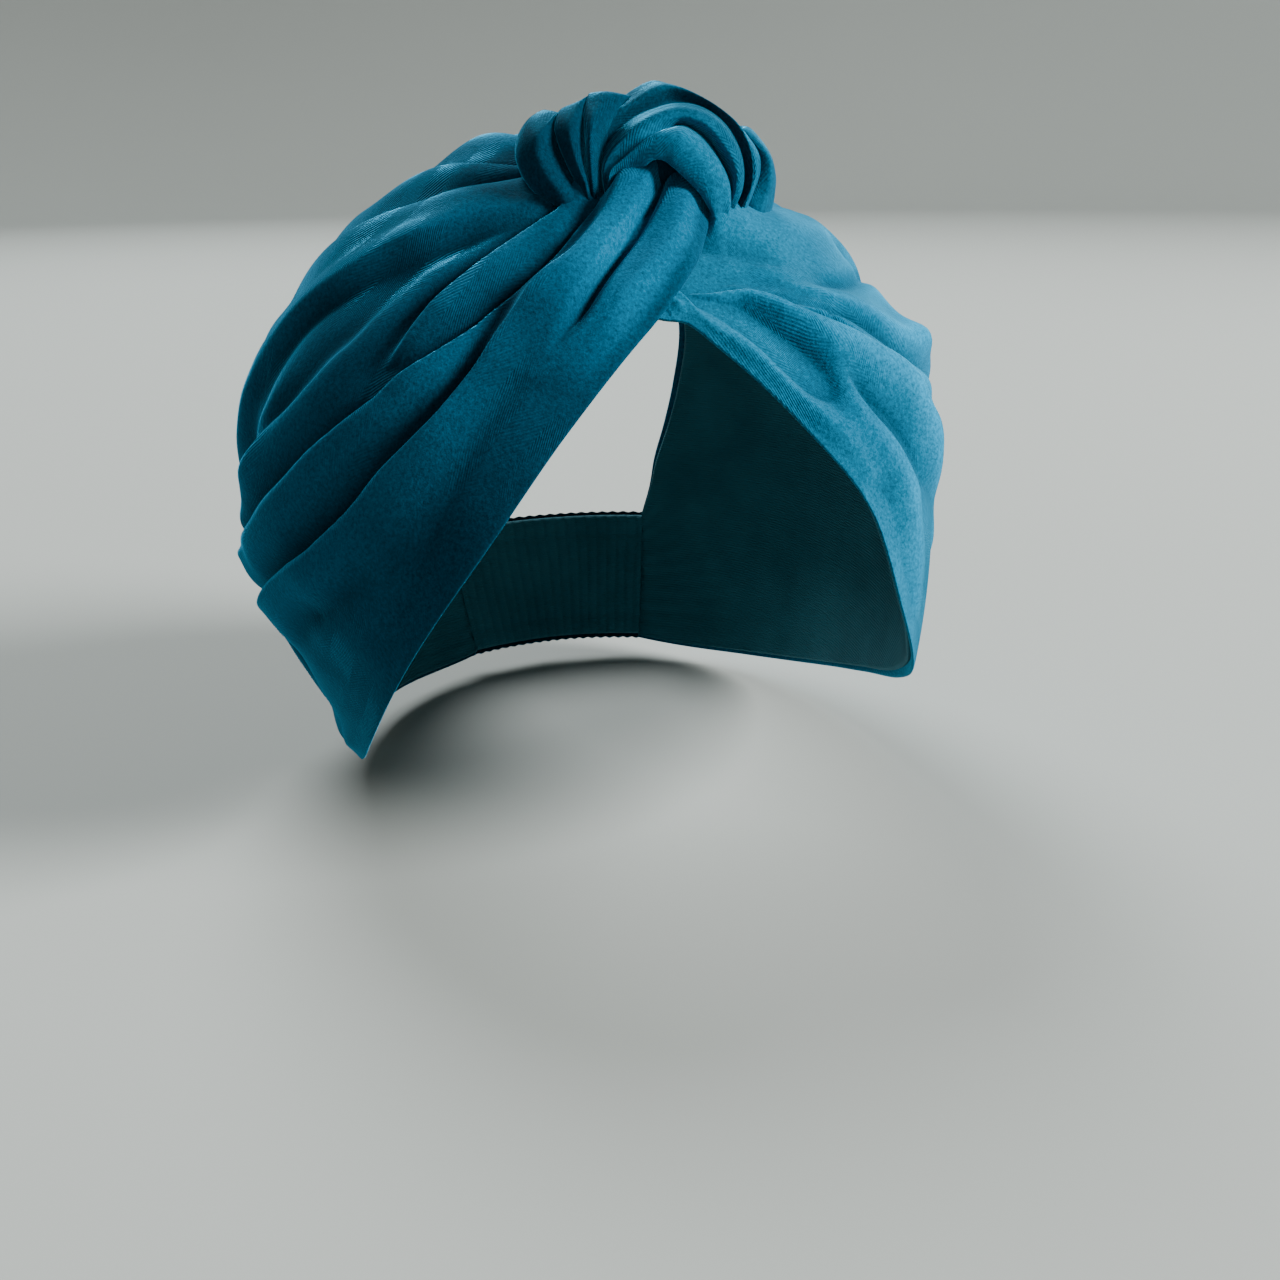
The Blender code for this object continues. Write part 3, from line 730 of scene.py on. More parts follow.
def swept(name, rings, painted_light_offset=0.0):
    """Closed tube from an array of rings (n, m, 3)."""
    n, m = rings.shape[:2]
    verts = rings.reshape(-1, 3)
    idx = np.arange(n * m).reshape(n, m)
    nxt = np.roll(idx, -1, axis=1)
    faces = [np.stack([idx[:-1], nxt[:-1], nxt[1:], idx[1:]], -1).reshape(-1, 4)]
    verts = list(verts)
    for row in (0, n - 1):
        c = len(verts)
        verts.append(rings[row].mean(0))
        ring = idx[row]
        pairs = np.stack([ring[0::2], np.roll(ring, -1)[0::2], np.roll(ring, -2)[0::2],
                          np.full(m // 2, c)], -1)
        faces.append(pairs if row == 0 else pairs[:, ::-1])
    ob = new_object(name, np.array(verts), np.concatenate(faces))
    uv = grid_uv(rings).reshape(-1, 2)
    cloth_uv(ob, np.concatenate([uv, [uv[0], uv[-1]]]))
    # painted shade in creases and painted highlight on crests, plus an offset of painted light and shade; the
    # end caps get a fixed darker tone
    tone = crease_shade(rings, rings.mean(1, keepdims=True), (6, 5), wrap=True)
    tone = (tone + painted_light_offset).clip(0, 1.8).ravel()
    set_crease_shade(ob, np.concatenate([tone, [0.3, 0.3]]))
    return ob


def bedded(rings, d=3.2):
    """Points that would go under the wraps are laid flat inside their cloth."""
    v = rings - CENTRE
    r = np.linalg.norm(v, axis=-1)
    floor = reach(v / r[..., None], d)
    deep = np.clip(floor - r, 0, None)
    r = np.where(deep > 0, floor - 0.9 * (1 - np.exp(-deep / 6.0)), r)
    return CENTRE + unit(v) * r[..., None]


# Rows run round the arch from the left foot; columns from the band's top edge
# inwards: top edge, rim of the middle fold, its face, hollow, brow, mouth edge.
LOOP = [
    [(-5.9, -33.0, 91.1), (-4.6, -36.0, 92.0), (-3.8, -37.0, 92.5), (-3.6, -37.0, 92.8), (-3.2, -37.0, 93.1), (-2.5, -36.0, 93.4)],
    [(-6.7, -31.0, 98.0), (-5.3, -36.0, 97.9), (-4.4, -37.5, 98.0), (-3.6, -38.0, 97.9), (-2.7, -38.0, 97.5), (-1.4, -37.0, 97.1)],
    [(-5.9, -29.0, 103.7), (-3.9, -36.0, 102.1), (-2.6, -38.0, 100.9), (-1.5, -38.5, 100.2), (-0.1, -39.0, 99.5), (1.7, -38.0, 98.4)],
    [(-3.9, -28.0, 109.3), (-0.1, -35.5, 106.3), (1.2, -38.5, 104.8), (2.3, -39.0, 103.4), (2.9, -40.5, 101.8), (3.9, -39.5, 99.2)],
    [(1.9, -28.0, 112.7), (4.2, -35.0, 109.2), (4.8, -38.5, 107.2), (6.1, -38.5, 105.7), (5.7, -41.5, 103.8), (5.8, -40.5, 100.4)],
    [(7.2, -28.0, 116.1), (9.0, -34.5, 110.9), (9.1, -38.0, 108.7), (10.3, -36.5, 107.0), (8.4, -42.0, 104.9), (7.9, -41.0, 100.2)],
    [(10.7, -28.0, 117.0), (13.4, -34.0, 111.8), (13.1, -37.5, 109.3), (14.1, -35.0, 107.6), (11.1, -42.5, 104.8), (9.3, -41.5, 99.2)],
    [(16.1, -28.5, 115.0), (18.0, -34.5, 111.4), (16.6, -38.0, 108.4), (17.7, -34.5, 106.2), (14.1, -43.0, 102.5), (11.5, -42.0, 97.3)],
    [(23.3, -29.5, 111.0), (22.4, -35.5, 109.0), (20.3, -39.0, 106.0), (20.8, -35.0, 103.6), (16.2, -43.5, 100.0), (14.1, -42.5, 94.9)],
    [(28.9, -31.0, 106.2), (26.0, -37.0, 104.8), (23.2, -40.0, 102.0), (23.0, -36.5, 99.8), (18.5, -44.0, 96.7), (16.2, -43.0, 92.5)],
    [(30.7, -33.0, 99.9), (27.9, -38.0, 99.5), (24.9, -41.0, 97.7), (24.1, -39.0, 95.7), (20.3, -44.0, 93.1), (17.9, -43.5, 89.6)],
    [(30.0, -35.0, 94.1), (27.2, -39.5, 94.2), (24.7, -42.0, 93.4), (23.8, -41.0, 91.9), (20.9, -44.0, 90.0), (19.0, -43.5, 87.0)],
    [(26.5, -37.0, 89.3), (24.8, -40.0, 89.6), (23.4, -41.5, 89.1), (22.6, -41.5, 88.4), (21.0, -43.0, 87.5), (19.6, -42.0, 85.0)],
    [(23.0, -38.0, 85.0), (22.2, -39.5, 85.0), (21.6, -40.5, 84.9), (21.3, -40.5, 84.7), (20.8, -41.0, 84.2), (20.2, -40.0, 83.1)],
]


def make_loop():
    """The loop: one folded band that arches over the rope from foot to foot."""
    top, rim, face, hollow, brow, mouth = (np.array([r[k] for r in LOOP]) for k in range(6))
    hub = np.array([9.5, 0, 92.0])
    away = top * [1, 0, 1] - hub * [1, 0, 1]
    away = unit(away)
    back = np.array([0.0, 1.0, 0.0])
    # behind, the band narrows to the crown with a few shallow gathers
    turn = np.arctan2(away[:, 2], away[:, 0])
    fold = 0.9 * np.sin(turn * 7.0 + 0.6)[:, None] * away
    tail = np.array([8.5, -7.0, 93.5]) + away * np.array([4.5, 0, 3.0])
    lower = smooth(-away[:, 2], -0.2, 0.6)[:, None] * np.array([0, 0, 1.0])
    ctrl = np.stack([
        top,
        0.55 * top + 0.45 * rim + away * 1.1 - back * 1.6,
        rim + away * 0.9 + back * 2.8,
        rim + away * 0.15 + back * 0.5,
        0.5 * rim + 0.5 * face + away * 0.45 - back * 0.9,
        face,
        hollow,
        0.45 * hollow + 0.55 * brow + away * 0.9 - back * 0.8,
        brow,
        mouth - back * 0.5,
        mouth + back * 1.9 + away * 0.5,
        mouth + back * 7.5 + away * 1.4,
        0.5 * mouth + 0.5 * tail + back * 3.0 - lower * 1.5,
        tail + back * 0.6 - away * 1.6 - lower * 1.5,
        tail + back * 2.4,
        0.30 * top + 0.70 * tail + away * 2.6 + fold * 0.7 + back * 0.5,
        0.72 * top + 0.28 * tail + away * 2.6 + fold,
        top + back * 3.4 + away * 0.3 + fold * 0.3,
    ], axis=1)
    first, last = ctrl[0] + [0.6, 2.0, -7.0], ctrl[-1] + [-2.5, 5.0, -14.0]
    ctrl = np.concatenate([first[None], ctrl, last[None]])
    ctrl = stretch_out(ctrl, int(190 * RES))
    rings = closed_sections(ctrl, even([12, 12, 8, 8, 8, 10, 12, 10, 10, 10, 10, 7, 6, 5, 8, 12, 12, 8]))
    rings = rings + 0.16 * ripple(rings, 51, 9)[..., None] * np.array([0.4, -0.7, 0.5])
    j = np.arange(rings.shape[1])
    # painted shade: the loop's top edge and rim, and its back where it turns under, are darker; the rest is a
    # little lighter
    painted_light_shade = 0.12 - 0.58 * (1 - smooth(j, 34, 52)) - 0.45 * smooth(j, 112, 130)
    return swept("knot_loop_velvet", bedded(rings), painted_light_shade[None])


# Rows follow one line from the loop's foot up and over to the back; the lines
# run from the fan's outer edge to where it goes under the loop.
FAN = [
    [(-14.0, -37.0, 88.8), (-17.5, -36.0, 91.3), (-21.8, -34.0, 95.0), (-24.1, -32.0, 100.4), (-23.2, -30.0, 105.3), (-19.9, -28.0, 109.3), (-15.4, -25.0, 111.2)],
    [(-12.6, -38.0, 90.3), (-15.5, -39.0, 93.6), (-18.3, -38.5, 97.4), (-20.1, -37.0, 101.6), (-19.5, -35.0, 105.7), (-16.8, -32.0, 108.7), (-13.2, -28.0, 110.6)],
    [(-9.9, -37.5, 91.6), (-11.0, -37.0, 94.9), (-13.1, -36.0, 99.2), (-14.6, -34.5, 103.6), (-15.0, -33.0, 107.3), (-14.0, -30.5, 109.9), (-11.4, -27.0, 111.6)],
    [(-9.4, -38.5, 92.1), (-10.1, -39.0, 95.4), (-11.7, -39.0, 99.6), (-12.7, -38.0, 104.0), (-12.7, -36.0, 107.7), (-11.3, -33.0, 110.5), (-8.7, -29.0, 112.9)],
    [(-8.3, -38.0, 92.4), (-8.6, -37.5, 96.3), (-8.7, -36.5, 101.0), (-8.7, -35.5, 105.1), (-8.5, -34.0, 108.8), (-7.5, -31.5, 111.9), (-5.6, -28.0, 114.5)],
    [(-7.8, -38.5, 92.6), (-8.4, -39.0, 96.3), (-8.7, -39.0, 101.0), (-8.5, -38.0, 105.1), (-7.2, -36.0, 109.0), (-5.0, -33.0, 112.1), (-1.9, -29.0, 114.9)],
    [(-5.7, -36.0, 92.9), (-5.6, -36.0, 97.1), (-5.3, -35.5, 101.8), (-4.0, -34.5, 106.0), (-1.5, -33.0, 109.3), (1.1, -31.0, 111.9), (4.0, -28.0, 113.8)],
]
WING = [
    [(27.9, -24.0, 107.3), (29.2, -27.0, 103.8), (29.6, -30.0, 99.9), (28.9, -33.0, 96.0), (28.0, -35.0, 92.2), (26.9, -36.0, 88.3)],
    [(30.0, -26.0, 106.8), (31.5, -30.0, 103.8), (31.9, -33.5, 100.4), (31.4, -36.0, 96.5), (29.8, -37.5, 93.2), (27.8, -38.0, 88.8)],
    [(31.5, -25.0, 107.1), (33.4, -28.5, 104.2), (34.6, -31.0, 100.8), (34.1, -33.0, 97.4), (32.3, -34.5, 93.8), (30.1, -35.5, 89.7)],
    [(32.7, -24.0, 107.0), (34.7, -28.0, 104.0), (36.0, -31.5, 100.3), (36.0, -33.5, 96.4), (35.1, -34.5, 93.0), (33.3, -35.0, 88.6)],
    [(34.0, -21.0, 107.3), (36.7, -24.0, 104.3), (38.5, -26.5, 100.7), (39.3, -28.5, 96.2), (38.9, -29.5, 92.8), (38.1, -30.0, 89.0)],
]


def make_fan():
    """Three pleats that rise from the loop's foot and turn over to the back."""
    L = []
    for row in FAN:
        row = np.array(row)
        over = row[-1] + [1.2, 5.5, -2.5]
        tip = np.array([2.5, -10.0, 93.0])
        L.append(np.concatenate([row[:1] + [1.5, 2.5, -6.0], row, over[None],
                                 (0.62 * over + 0.38 * tip + [0, 0.5, -2.0])[None],
                                 (0.25 * over + 0.75 * tip)[None],
                                 (0.10 * over + 0.90 * tip + [1, 2, -4.0])[None]]))
    x, y, z = np.eye(3)
    wide = np.array([1.0] * 8 + [0.9, 0.7, 0.4, 0.25])[:, None]
    ctrl = np.stack([
        L[0],
        0.5 * L[0] + 0.5 * L[1] - y * 1.3 - x * 0.3,
        L[1] - y * 0.8,
        0.45 * L[1] + 0.55 * L[2] - y * 0.7,
        L[2] + x * 0.9 + y * 2.2,
        L[2] - x * 0.3 + y * 0.2,
        L[3] - y * 0.6,
        0.5 * L[3] + 0.5 * L[4] - y * 0.7,
        L[4] + x * 0.8 + y * 2.2,
        L[4] - x * 0.3 + y * 0.2,
        L[5] - y * 0.4,
        L[6],
        L[6] + wide * (x * 3.0 + y * 6.0 - z * 1.5),
        0.3 * L[2] + 0.7 * L[4] + wide * (y * 9.0 - z * 4.0),
        L[0] + wide * (x * 3.0 + y * 7.0 - z * 3.0),
        L[0] + wide * (x * 0.6 + y * 3.0),
    ], axis=1)
    ctrl = stretch_out(ctrl, int(120 * RES))
    rings = closed_sections(ctrl, even([7, 7, 8, 8, 7, 7, 8, 8, 7, 7, 8, 7, 6, 6, 6, 6]))
    rings = rings + 0.18 * ripple(rings, 52, 8)[..., None] * np.array([0.3, -0.7, 0.5])
    # painted shade: the whole fan is darkened
    return swept("knot_fan_velvet", bedded(rings), -0.30)


def make_wing():
    """Two pleats behind the loop's far leg."""
    x, y, z = np.eye(3)
    L = []
    for row in WING:
        row = np.array(row)
        over = row[0] + [-2.5, 5.5, -2.0]
        tip = np.array([15.5, -10.0, 93.0])
        L.append(np.concatenate([(0.10 * over + 0.90 * tip + [-1, 2, -4.0])[None],
                                 (0.30 * over + 0.70 * tip)[None],
                                 (0.66 * over + 0.34 * tip + [0, 0.5, -1.5])[None], over[None],
                                 row, row[-1:] + [-3.0, 5.0, -14.0]]))
    wide = np.array([0.25, 0.45, 0.75, 0.9] + [1.0] * 7)[:, None]
    ctrl = np.stack([
        L[0],
        L[1] - y * 0.8,
        L[2] + x * 0.7 + y * 1.8,
        L[2] - x * 0.3 + y * 0.2,
        L[3] - y * 0.9,
        0.5 * L[3] + 0.5 * L[4] - y * 0.8 + x * 0.5,
        L[4],
        L[4] + wide * (-x * 0.5 + y * 3.2),
        L[4] + wide * (-x * 4.0 + y * 6.5 - z * 2.5),
        L[0] + wide * (y * 6.5 - z * 2.5),
    ], axis=1)
    ctrl = stretch_out(ctrl, int(100 * RES))
    rings = closed_sections(ctrl, even([9, 9, 8, 9, 9, 8, 8, 8, 8, 8]))
    rings = rings + 0.18 * ripple(rings, 53, 8)[..., None] * np.array([0.3, -0.7, 0.5])
    # painted shade: the whole wing is darkened
    return swept("knot_wing_velvet", bedded(rings), -0.28)


def make_core():
    """Gathered back of the knot: both wraps rise here and turn in under the loop."""
    n = int(150 * RES)
    g = np.linspace(-1, 1, n)
    U, V = np.meshgrid(g, g, indexing="ij")
    a, b = U * np.sqrt(1 - V ** 2 / 2), V * np.sqrt(1 - U ** 2 / 2)
    rim = 1 - np.sqrt(np.clip(a ** 2 + b ** 2, 0, 1))
    X = 7.5 + a * np.where(b > 0, 29 - 9.5 * b ** 2, 29)
    Y = -14.0 + b * np.where(b > 0, 28.0, 20.0)
    back = np.clip((Y + 20) / 34.0, 0, 1)
    side = np.clip(np.abs(X - 7.5) / (29 - 12 * back ** 2), 0, 1)
    tall = 15.5 * (1 - back ** 1.7) ** 0.9 * (1 - side ** 2.4) ** 0.8
    tall = tall * (1 - 0.35 * np.clip((-Y - 22) / 14.0, 0, 1))
    turn = np.arctan2(X - 6.5, 24.0 - Y) + 0.03 * np.sin(Y / 5.0)
    wave = 0.5 + 0.5 * np.cos(turn * 25.0 + 1.3 * np.sin(turn * 6.0 + 0.8))
    wave = wave ** 0.6
    show = smooth(rim, 0.0, 0.12) * (0.6 + 0.5 * back)
    puff = 3.6 + 3.4 * smooth(rim, 0.0, 0.16) ** 0.7
    d = puff + tall + 3.4 * (wave - 0.6) * show
    spot = np.stack([X, Y, 90.0 + 0 * X], -1) - CENTRE
    form = Form(unit(spot))
    top = form.at(d)
    top = top + 0.15 * ripple(top, 54, 8)[..., None] * np.array([0.3, 0.3, 0.8])
    low = form.at(2.9 + 0.62 * tall)
    return two_faces("knot_core_velvet", top, low)


# ------------------------------------------------------------------ nape
def casing_face(az, el, base):
    """Puckers of the casing: gathers across it, deepest between the channel lines."""
    u = (az - 180.0) / (180.0 - NAPE_AZ)
    v = (el - NAPE_LOW) / (NAPE_HIGH - NAPE_LOW)
    ph = 19 * math.pi * u / 2 + 0.55 * np.sin(3.1 * u + 4 * v) + 0.5 * np.sin(9 * u) * v
    pleat = np.abs(np.sin(ph)) ** 0.8
    puff = np.sin(np.clip(v, 0, 1) * math.pi) ** 0.6
    line = (np.exp(-((v - 0.17) / 0.030) ** 2) + np.exp(-((v - 0.83) / 0.030) ** 2))
    h = base + 1.0 * puff + (1.9 * pleat - 0.4) * (0.55 + 0.45 * puff) - 0.85 * line
    return h + 0.35 * np.sin(7 * u + 5 * v)


def make_casing():
    nu, nv = int(240 * RES), int(110 * RES)
    az = np.linspace(NAPE_AZ - 0.6, 360 - NAPE_AZ + 0.6, nu)
    el = NAPE_LOW + (NAPE_HIGH - NAPE_LOW) * spread(nv, 0.06, 0.14)
    A, E = np.meshgrid(az, el, indexing="ij")
    frill = 0.9 * np.sin(19 * math.pi * (A - 180) / (180 - NAPE_AZ) / 2 * 2)
    edge = np.abs(2 * (E - NAPE_LOW) / (NAPE_HIGH - NAPE_LOW) - 1) ** 6
    W = toward(A, E + frill * edge * 0.13)
    form = Form(W.reshape(-1, 3))
    h = casing_face(A, E, 5.2)
    flat = form.at(np.full(A.size, 6.0)).reshape(*A.shape, 3)
    near = arc_mm(flat)
    e = np.minimum(near, near[:, -1:] - near)
    low = np.maximum(h - 1.6, 4.4)
    top, low = rolled(h, low, e, 2.2, 3.2)
    return two_faces("nape_casing_velvet", form.at(top.ravel()).reshape(*A.shape, 3),
                     form.at(low.ravel()).reshape(*A.shape, 3))


def make_casing_lining():
    nu, nv = int(200 * RES), int(70 * RES)
    az = np.linspace(NAPE_AZ - 0.4, 360 - NAPE_AZ + 0.4, nu)
    el = (NAPE_LOW + .6) + (NAPE_HIGH - NAPE_LOW - 1.2) * spread(nv, 0.06, 0.14)
    A, E = np.meshgrid(az, el, indexing="ij")
    form = Form(toward(A, E).reshape(-1, 3))
    u = (A - 180.0) / (180.0 - NAPE_AZ)
    v = (E - NAPE_LOW) / (NAPE_HIGH - NAPE_LOW)
    ph = 19 * math.pi * u / 2 + 0.4 * np.sin(3.1 * u + 4 * v)
    pleat = np.abs(np.sin(ph)) ** 0.8
    line = (np.exp(-((v - 0.17) / 0.030) ** 2) + np.exp(-((v - 0.83) / 0.030) ** 2))
    low = 1.0 - 0.75 * pleat + 0.55 * line
    top = np.full_like(low, 2.15)
    flat = form.at(np.full(A.size, 1.0)).reshape(*A.shape, 3)
    near = arc_mm(flat)
    e = np.minimum(near, near[:, -1:] - near)
    top, low = rolled(top, low, e, 0.9, 1.5)
    return two_faces("nape_casing_lining_knit", form.at(top.ravel()).reshape(*A.shape, 3),
                     form.at(low.ravel()).reshape(*A.shape, 3))


def make_stitches(name, az):
    """A row of short stitches along the seam between panel and casing."""
    rings = []
    n = 13
    for i in range(n):
        e0 = NAPE_LOW + 2.2 + (NAPE_HIGH - NAPE_LOW - 4.4) * i / (n - 1)
        e = np.linspace(e0 - 0.62, e0 + 0.62, 7)
        lift = np.sin(np.linspace(0, math.pi, 7)) * 0.45
        A = np.full(7, az)
        h = casing_face(np.abs(A), e, 5.2)
        w = toward(A, e)
        p = Form(w).at(h + 0.05 + lift)
        rings.append(p)
    obs = []
    m = 8
    a = np.linspace(0, 2 * math.pi, m, endpoint=False)
    verts, faces = [], []
    for p in rings:
        tan = unit(np.gradient(p, axis=0))
        out = unit(p - CENTRE)
        side = unit(np.cross(tan, out))
        nrm = unit(np.cross(side, tan))
        r = 0.30 * np.array([.35, .8, 1, 1, 1, .8, .35])
        ring = (p[:, None] + side[:, None] * (np.cos(a)[None, :, None] * r[:, None, None])
                + nrm[:, None] * (np.sin(a)[None, :, None] * r[:, None, None]))
        base = len(verts)
        verts += list(ring.reshape(-1, 3))
        idx = np.arange(7 * m).reshape(7, m) + base
        nx = np.roll(idx, -1, axis=1)
        faces += np.stack([idx[:-1], nx[:-1], nx[1:], idx[1:]], -1).reshape(-1, 4).tolist()
        for row in (0, 6):
            c = len(verts)
            verts.append(ring[row].mean(0))
            rg = idx[row]
            q = np.stack([rg[0::2], np.roll(rg, -1)[0::2], np.roll(rg, -2)[0::2],
                          np.full(m // 2, c)], -1)
            faces += (q if row == 0 else q[:, ::-1]).tolist()
    return new_object(name, np.array(verts), np.array(faces))


# ------------------------------------------------------------------ materials
def nodes_of(mat):
    mat.use_nodes = True
    nt = mat.node_tree
    return nt, nt.nodes["Principled BSDF"]


def link(nt, a, b):
    nt.links.new(a, b)


def math_node(nt, op, a, b=None):
    n = nt.nodes.new("ShaderNodeMath")
    n.operation = op
    for i, v in enumerate((a, b)):
        if v is None:
            continue
        if isinstance(v, (int, float)):
            n.inputs[i].default_value = v
        else:
            link(nt, v, n.inputs[i])
    return n.outputs[0]


def noise_node(nt, vec, scale, detail=2.0, rough=0.5):
    n = nt.nodes.new("ShaderNodeTexNoise")
    n.inputs["Scale"].default_value = scale
    n.inputs["Detail"].default_value = detail
    n.inputs["Roughness"].default_value = rough
    link(nt, vec, n.inputs["Vector"])
    return n.outputs["Fac"]


def velvet(name, deep, mid, bright):
    """Short pile over a knit: brushed patches, pile grain and slanting knit rows, with painted shade and
    highlight from the per-vertex crease tone.
    """
    m = bpy.data.materials.new(name)
    nt, p = nodes_of(m)
    N = nt.nodes
    tc = N.new("ShaderNodeTexCoord")
    obj, uv = tc.outputs["Object"], tc.outputs["UV"]
    big = noise_node(nt, obj, 26.0, 3.0)
    grain = noise_node(nt, obj, 2600.0, 3.0, 0.6)
    tuft = noise_node(nt, obj, 1150.0, 2.0, 0.55)
    # herringbone rows: u runs with the cloth, v across it, both in metres
    sep = N.new("ShaderNodeSeparateXYZ")
    link(nt, uv, sep.inputs[0])
    u, v = sep.outputs[0], sep.outputs[1]
    column = math_node(nt, "PINGPONG", math_node(nt, "ADD", v, math_node(nt, "MULTIPLY", noise_node(nt, obj, 60.0, 1.0), 0.003)), 0.0075)
    slant = math_node(nt, "ADD", u, math_node(nt, "MULTIPLY", column, 1.5))
    rows = math_node(nt, "SINE", math_node(nt, "MULTIPLY", slant, 6.28318 / 0.00115))
    rows = math_node(nt, "ADD", math_node(nt, "MULTIPLY", rows, 0.5), 0.5)
    where = N.new("ShaderNodeMapRange")          # rows show only where the pile lies open
    where.inputs["From Min"].default_value = 0.46
    where.inputs["From Max"].default_value = 0.70
    link(nt, noise_node(nt, obj, 34.0, 2.0), where.inputs["Value"])
    rows = math_node(nt, "MULTIPLY", rows, where.outputs["Result"])
    ramp = N.new("ShaderNodeValToRGB")
    ramp.color_ramp.elements[0].position = 0.36
    ramp.color_ramp.elements[0].color = (*deep, 1)
    ramp.color_ramp.elements[1].position = 0.66
    ramp.color_ramp.elements[1].color = (*mid, 1)
    link(nt, big, ramp.inputs["Fac"])
    shade = N.new("ShaderNodeMapRange")
    shade.inputs["From Min"].default_value = 0.30
    shade.inputs["From Max"].default_value = 0.72
    shade.inputs["To Min"].default_value = 0.50
    shade.inputs["To Max"].default_value = 1.55
    link(nt, math_node(nt, "ADD", math_node(nt, "MULTIPLY", grain, 0.45),
                       math_node(nt, "MULTIPLY", tuft, 0.55)), shade.inputs["Value"])
    lit = math_node(nt, "ADD", shade.outputs["Result"], math_node(nt, "MULTIPLY", rows, 0.22))
    # painted shade and highlight: the per-vertex crease tone scales the base colour, 0.40 in creases up to 1.70
    # on crests and more where painted light is added
    crease_shade_attr = N.new("ShaderNodeAttribute")
    crease_shade_attr.attribute_name = "crease_shade"
    crease_shade_range = N.new("ShaderNodeMapRange")
    crease_shade_range.clamp = False
    crease_shade_range.inputs["To Min"].default_value = 0.40
    crease_shade_range.inputs["To Max"].default_value = 1.70
    link(nt, crease_shade_attr.outputs["Fac"], crease_shade_range.inputs["Value"])
    lit = math_node(nt, "MULTIPLY", lit, crease_shade_range.outputs["Result"])
    tone = N.new("ShaderNodeVectorMath")
    tone.operation = "SCALE"
    link(nt, ramp.outputs["Color"], tone.inputs[0])
    link(nt, lit, tone.inputs["Scale"])
    link(nt, tone.outputs[0], p.inputs["Base Color"])
    height = math_node(nt, "ADD", math_node(nt, "MULTIPLY", tuft, 0.8),
                       math_node(nt, "ADD", math_node(nt, "MULTIPLY", grain, 0.5),
                                 math_node(nt, "MULTIPLY", rows, 0.9)))
    b = N.new("ShaderNodeBump")
    b.inputs["Strength"].default_value = 0.55
    b.inputs["Distance"].default_value = 0.00028
    link(nt, height, b.inputs["Height"])
    link(nt, b.outputs["Normal"], p.inputs["Normal"])
    p.inputs["Roughness"].default_value = 0.9
    p.inputs["Specular IOR Level"].default_value = 0.06
    p.inputs["Specular Tint"].default_value = (0.10, 0.55, 0.75, 1)
    p.inputs["Sheen Weight"].default_value = 1.0
    p.inputs["Sheen Roughness"].default_value = 0.30
    p.inputs["Sheen Tint"].default_value = (*bright, 1)
    m.diffuse_color = (*mid, 1)
    return m


def knit(name, dark, light):
    m = bpy.data.materials.new(name)
    nt, p = nodes_of(m)
    N = nt.nodes
    tc = N.new("ShaderNodeTexCoord")
    w1 = N.new("ShaderNodeTexWave")
    w1.wave_type = "BANDS"
    w1.bands_direction = "Z"
    w1.inputs["Scale"].default_value = 420.0
    w1.inputs["Distortion"].default_value = 1.2
    w1.inputs["Detail"].default_value = 1.0
    link(nt, tc.outputs["Object"], w1.inputs["Vector"])
    n1 = N.new("ShaderNodeTexNoise")
    n1.inputs["Scale"].default_value = 1500.0
    n1.inputs["Detail"].default_value = 2.0
    link(nt, tc.outputs["Object"], n1.inputs["Vector"])
    n2 = N.new("ShaderNodeTexNoise")
    n2.inputs["Scale"].default_value = 45.0
    n2.inputs["Detail"].default_value = 2.0
    link(nt, tc.outputs["Object"], n2.inputs["Vector"])
    ramp = N.new("ShaderNodeValToRGB")
    ramp.color_ramp.elements[0].position = 0.3
    ramp.color_ramp.elements[0].color = (*dark, 1)
    ramp.color_ramp.elements[1].position = 0.75
    ramp.color_ramp.elements[1].color = (*light, 1)
    link(nt, n2.outputs["Fac"], ramp.inputs["Fac"])
    link(nt, ramp.outputs["Color"], p.inputs["Base Color"])
    add = N.new("ShaderNodeMath")
    add.operation = "ADD"
    link(nt, w1.outputs["Fac"], add.inputs[0])
    link(nt, n1.outputs["Fac"], add.inputs[1])
    b = N.new("ShaderNodeBump")
    b.inputs["Strength"].default_value = 0.5
    b.inputs["Distance"].default_value = 0.0003
    link(nt, add.outputs[0], b.inputs["Height"])
    link(nt, b.outputs["Normal"], p.inputs["Normal"])
    p.inputs["Roughness"].default_value = 0.85
    p.inputs["Specular IOR Level"].default_value = 0.2
    p.inputs["Sheen Weight"].default_value = 0.35
    p.inputs["Sheen Roughness"].default_value = 0.5
    p.inputs["Sheen Tint"].default_value = (*light, 1)
    m.diffuse_color = (*light, 1)
    return m


def webbing(name):
    m = bpy.data.materials.new(name)
    nt, p = nodes_of(m)
    N = nt.nodes
    tc = N.new("ShaderNodeTexCoord")
    w = N.new("ShaderNodeTexWave")
    w.bands_direction = "Z"
    w.inputs["Scale"].default_value = 300.0
    w.inputs["Distortion"].default_value = 0.4
    link(nt, tc.outputs["Object"], w.inputs["Vector"])
    ramp = N.new("ShaderNodeValToRGB")
    ramp.color_ramp.elements[0].color = (0.60, 0.59, 0.55, 1)
    ramp.color_ramp.elements[1].color = (0.80, 0.79, 0.75, 1)
    link(nt, w.outputs["Fac"], ramp.inputs["Fac"])
    link(nt, ramp.outputs["Color"], p.inputs["Base Color"])
    b = N.new("ShaderNodeBump")
    b.inputs["Strength"].default_value = 0.6
    b.inputs["Distance"].default_value = 0.0004
    link(nt, w.outputs["Fac"], b.inputs["Height"])
    link(nt, b.outputs["Normal"], p.inputs["Normal"])
    p.inputs["Roughness"].default_value = 0.8
    return m


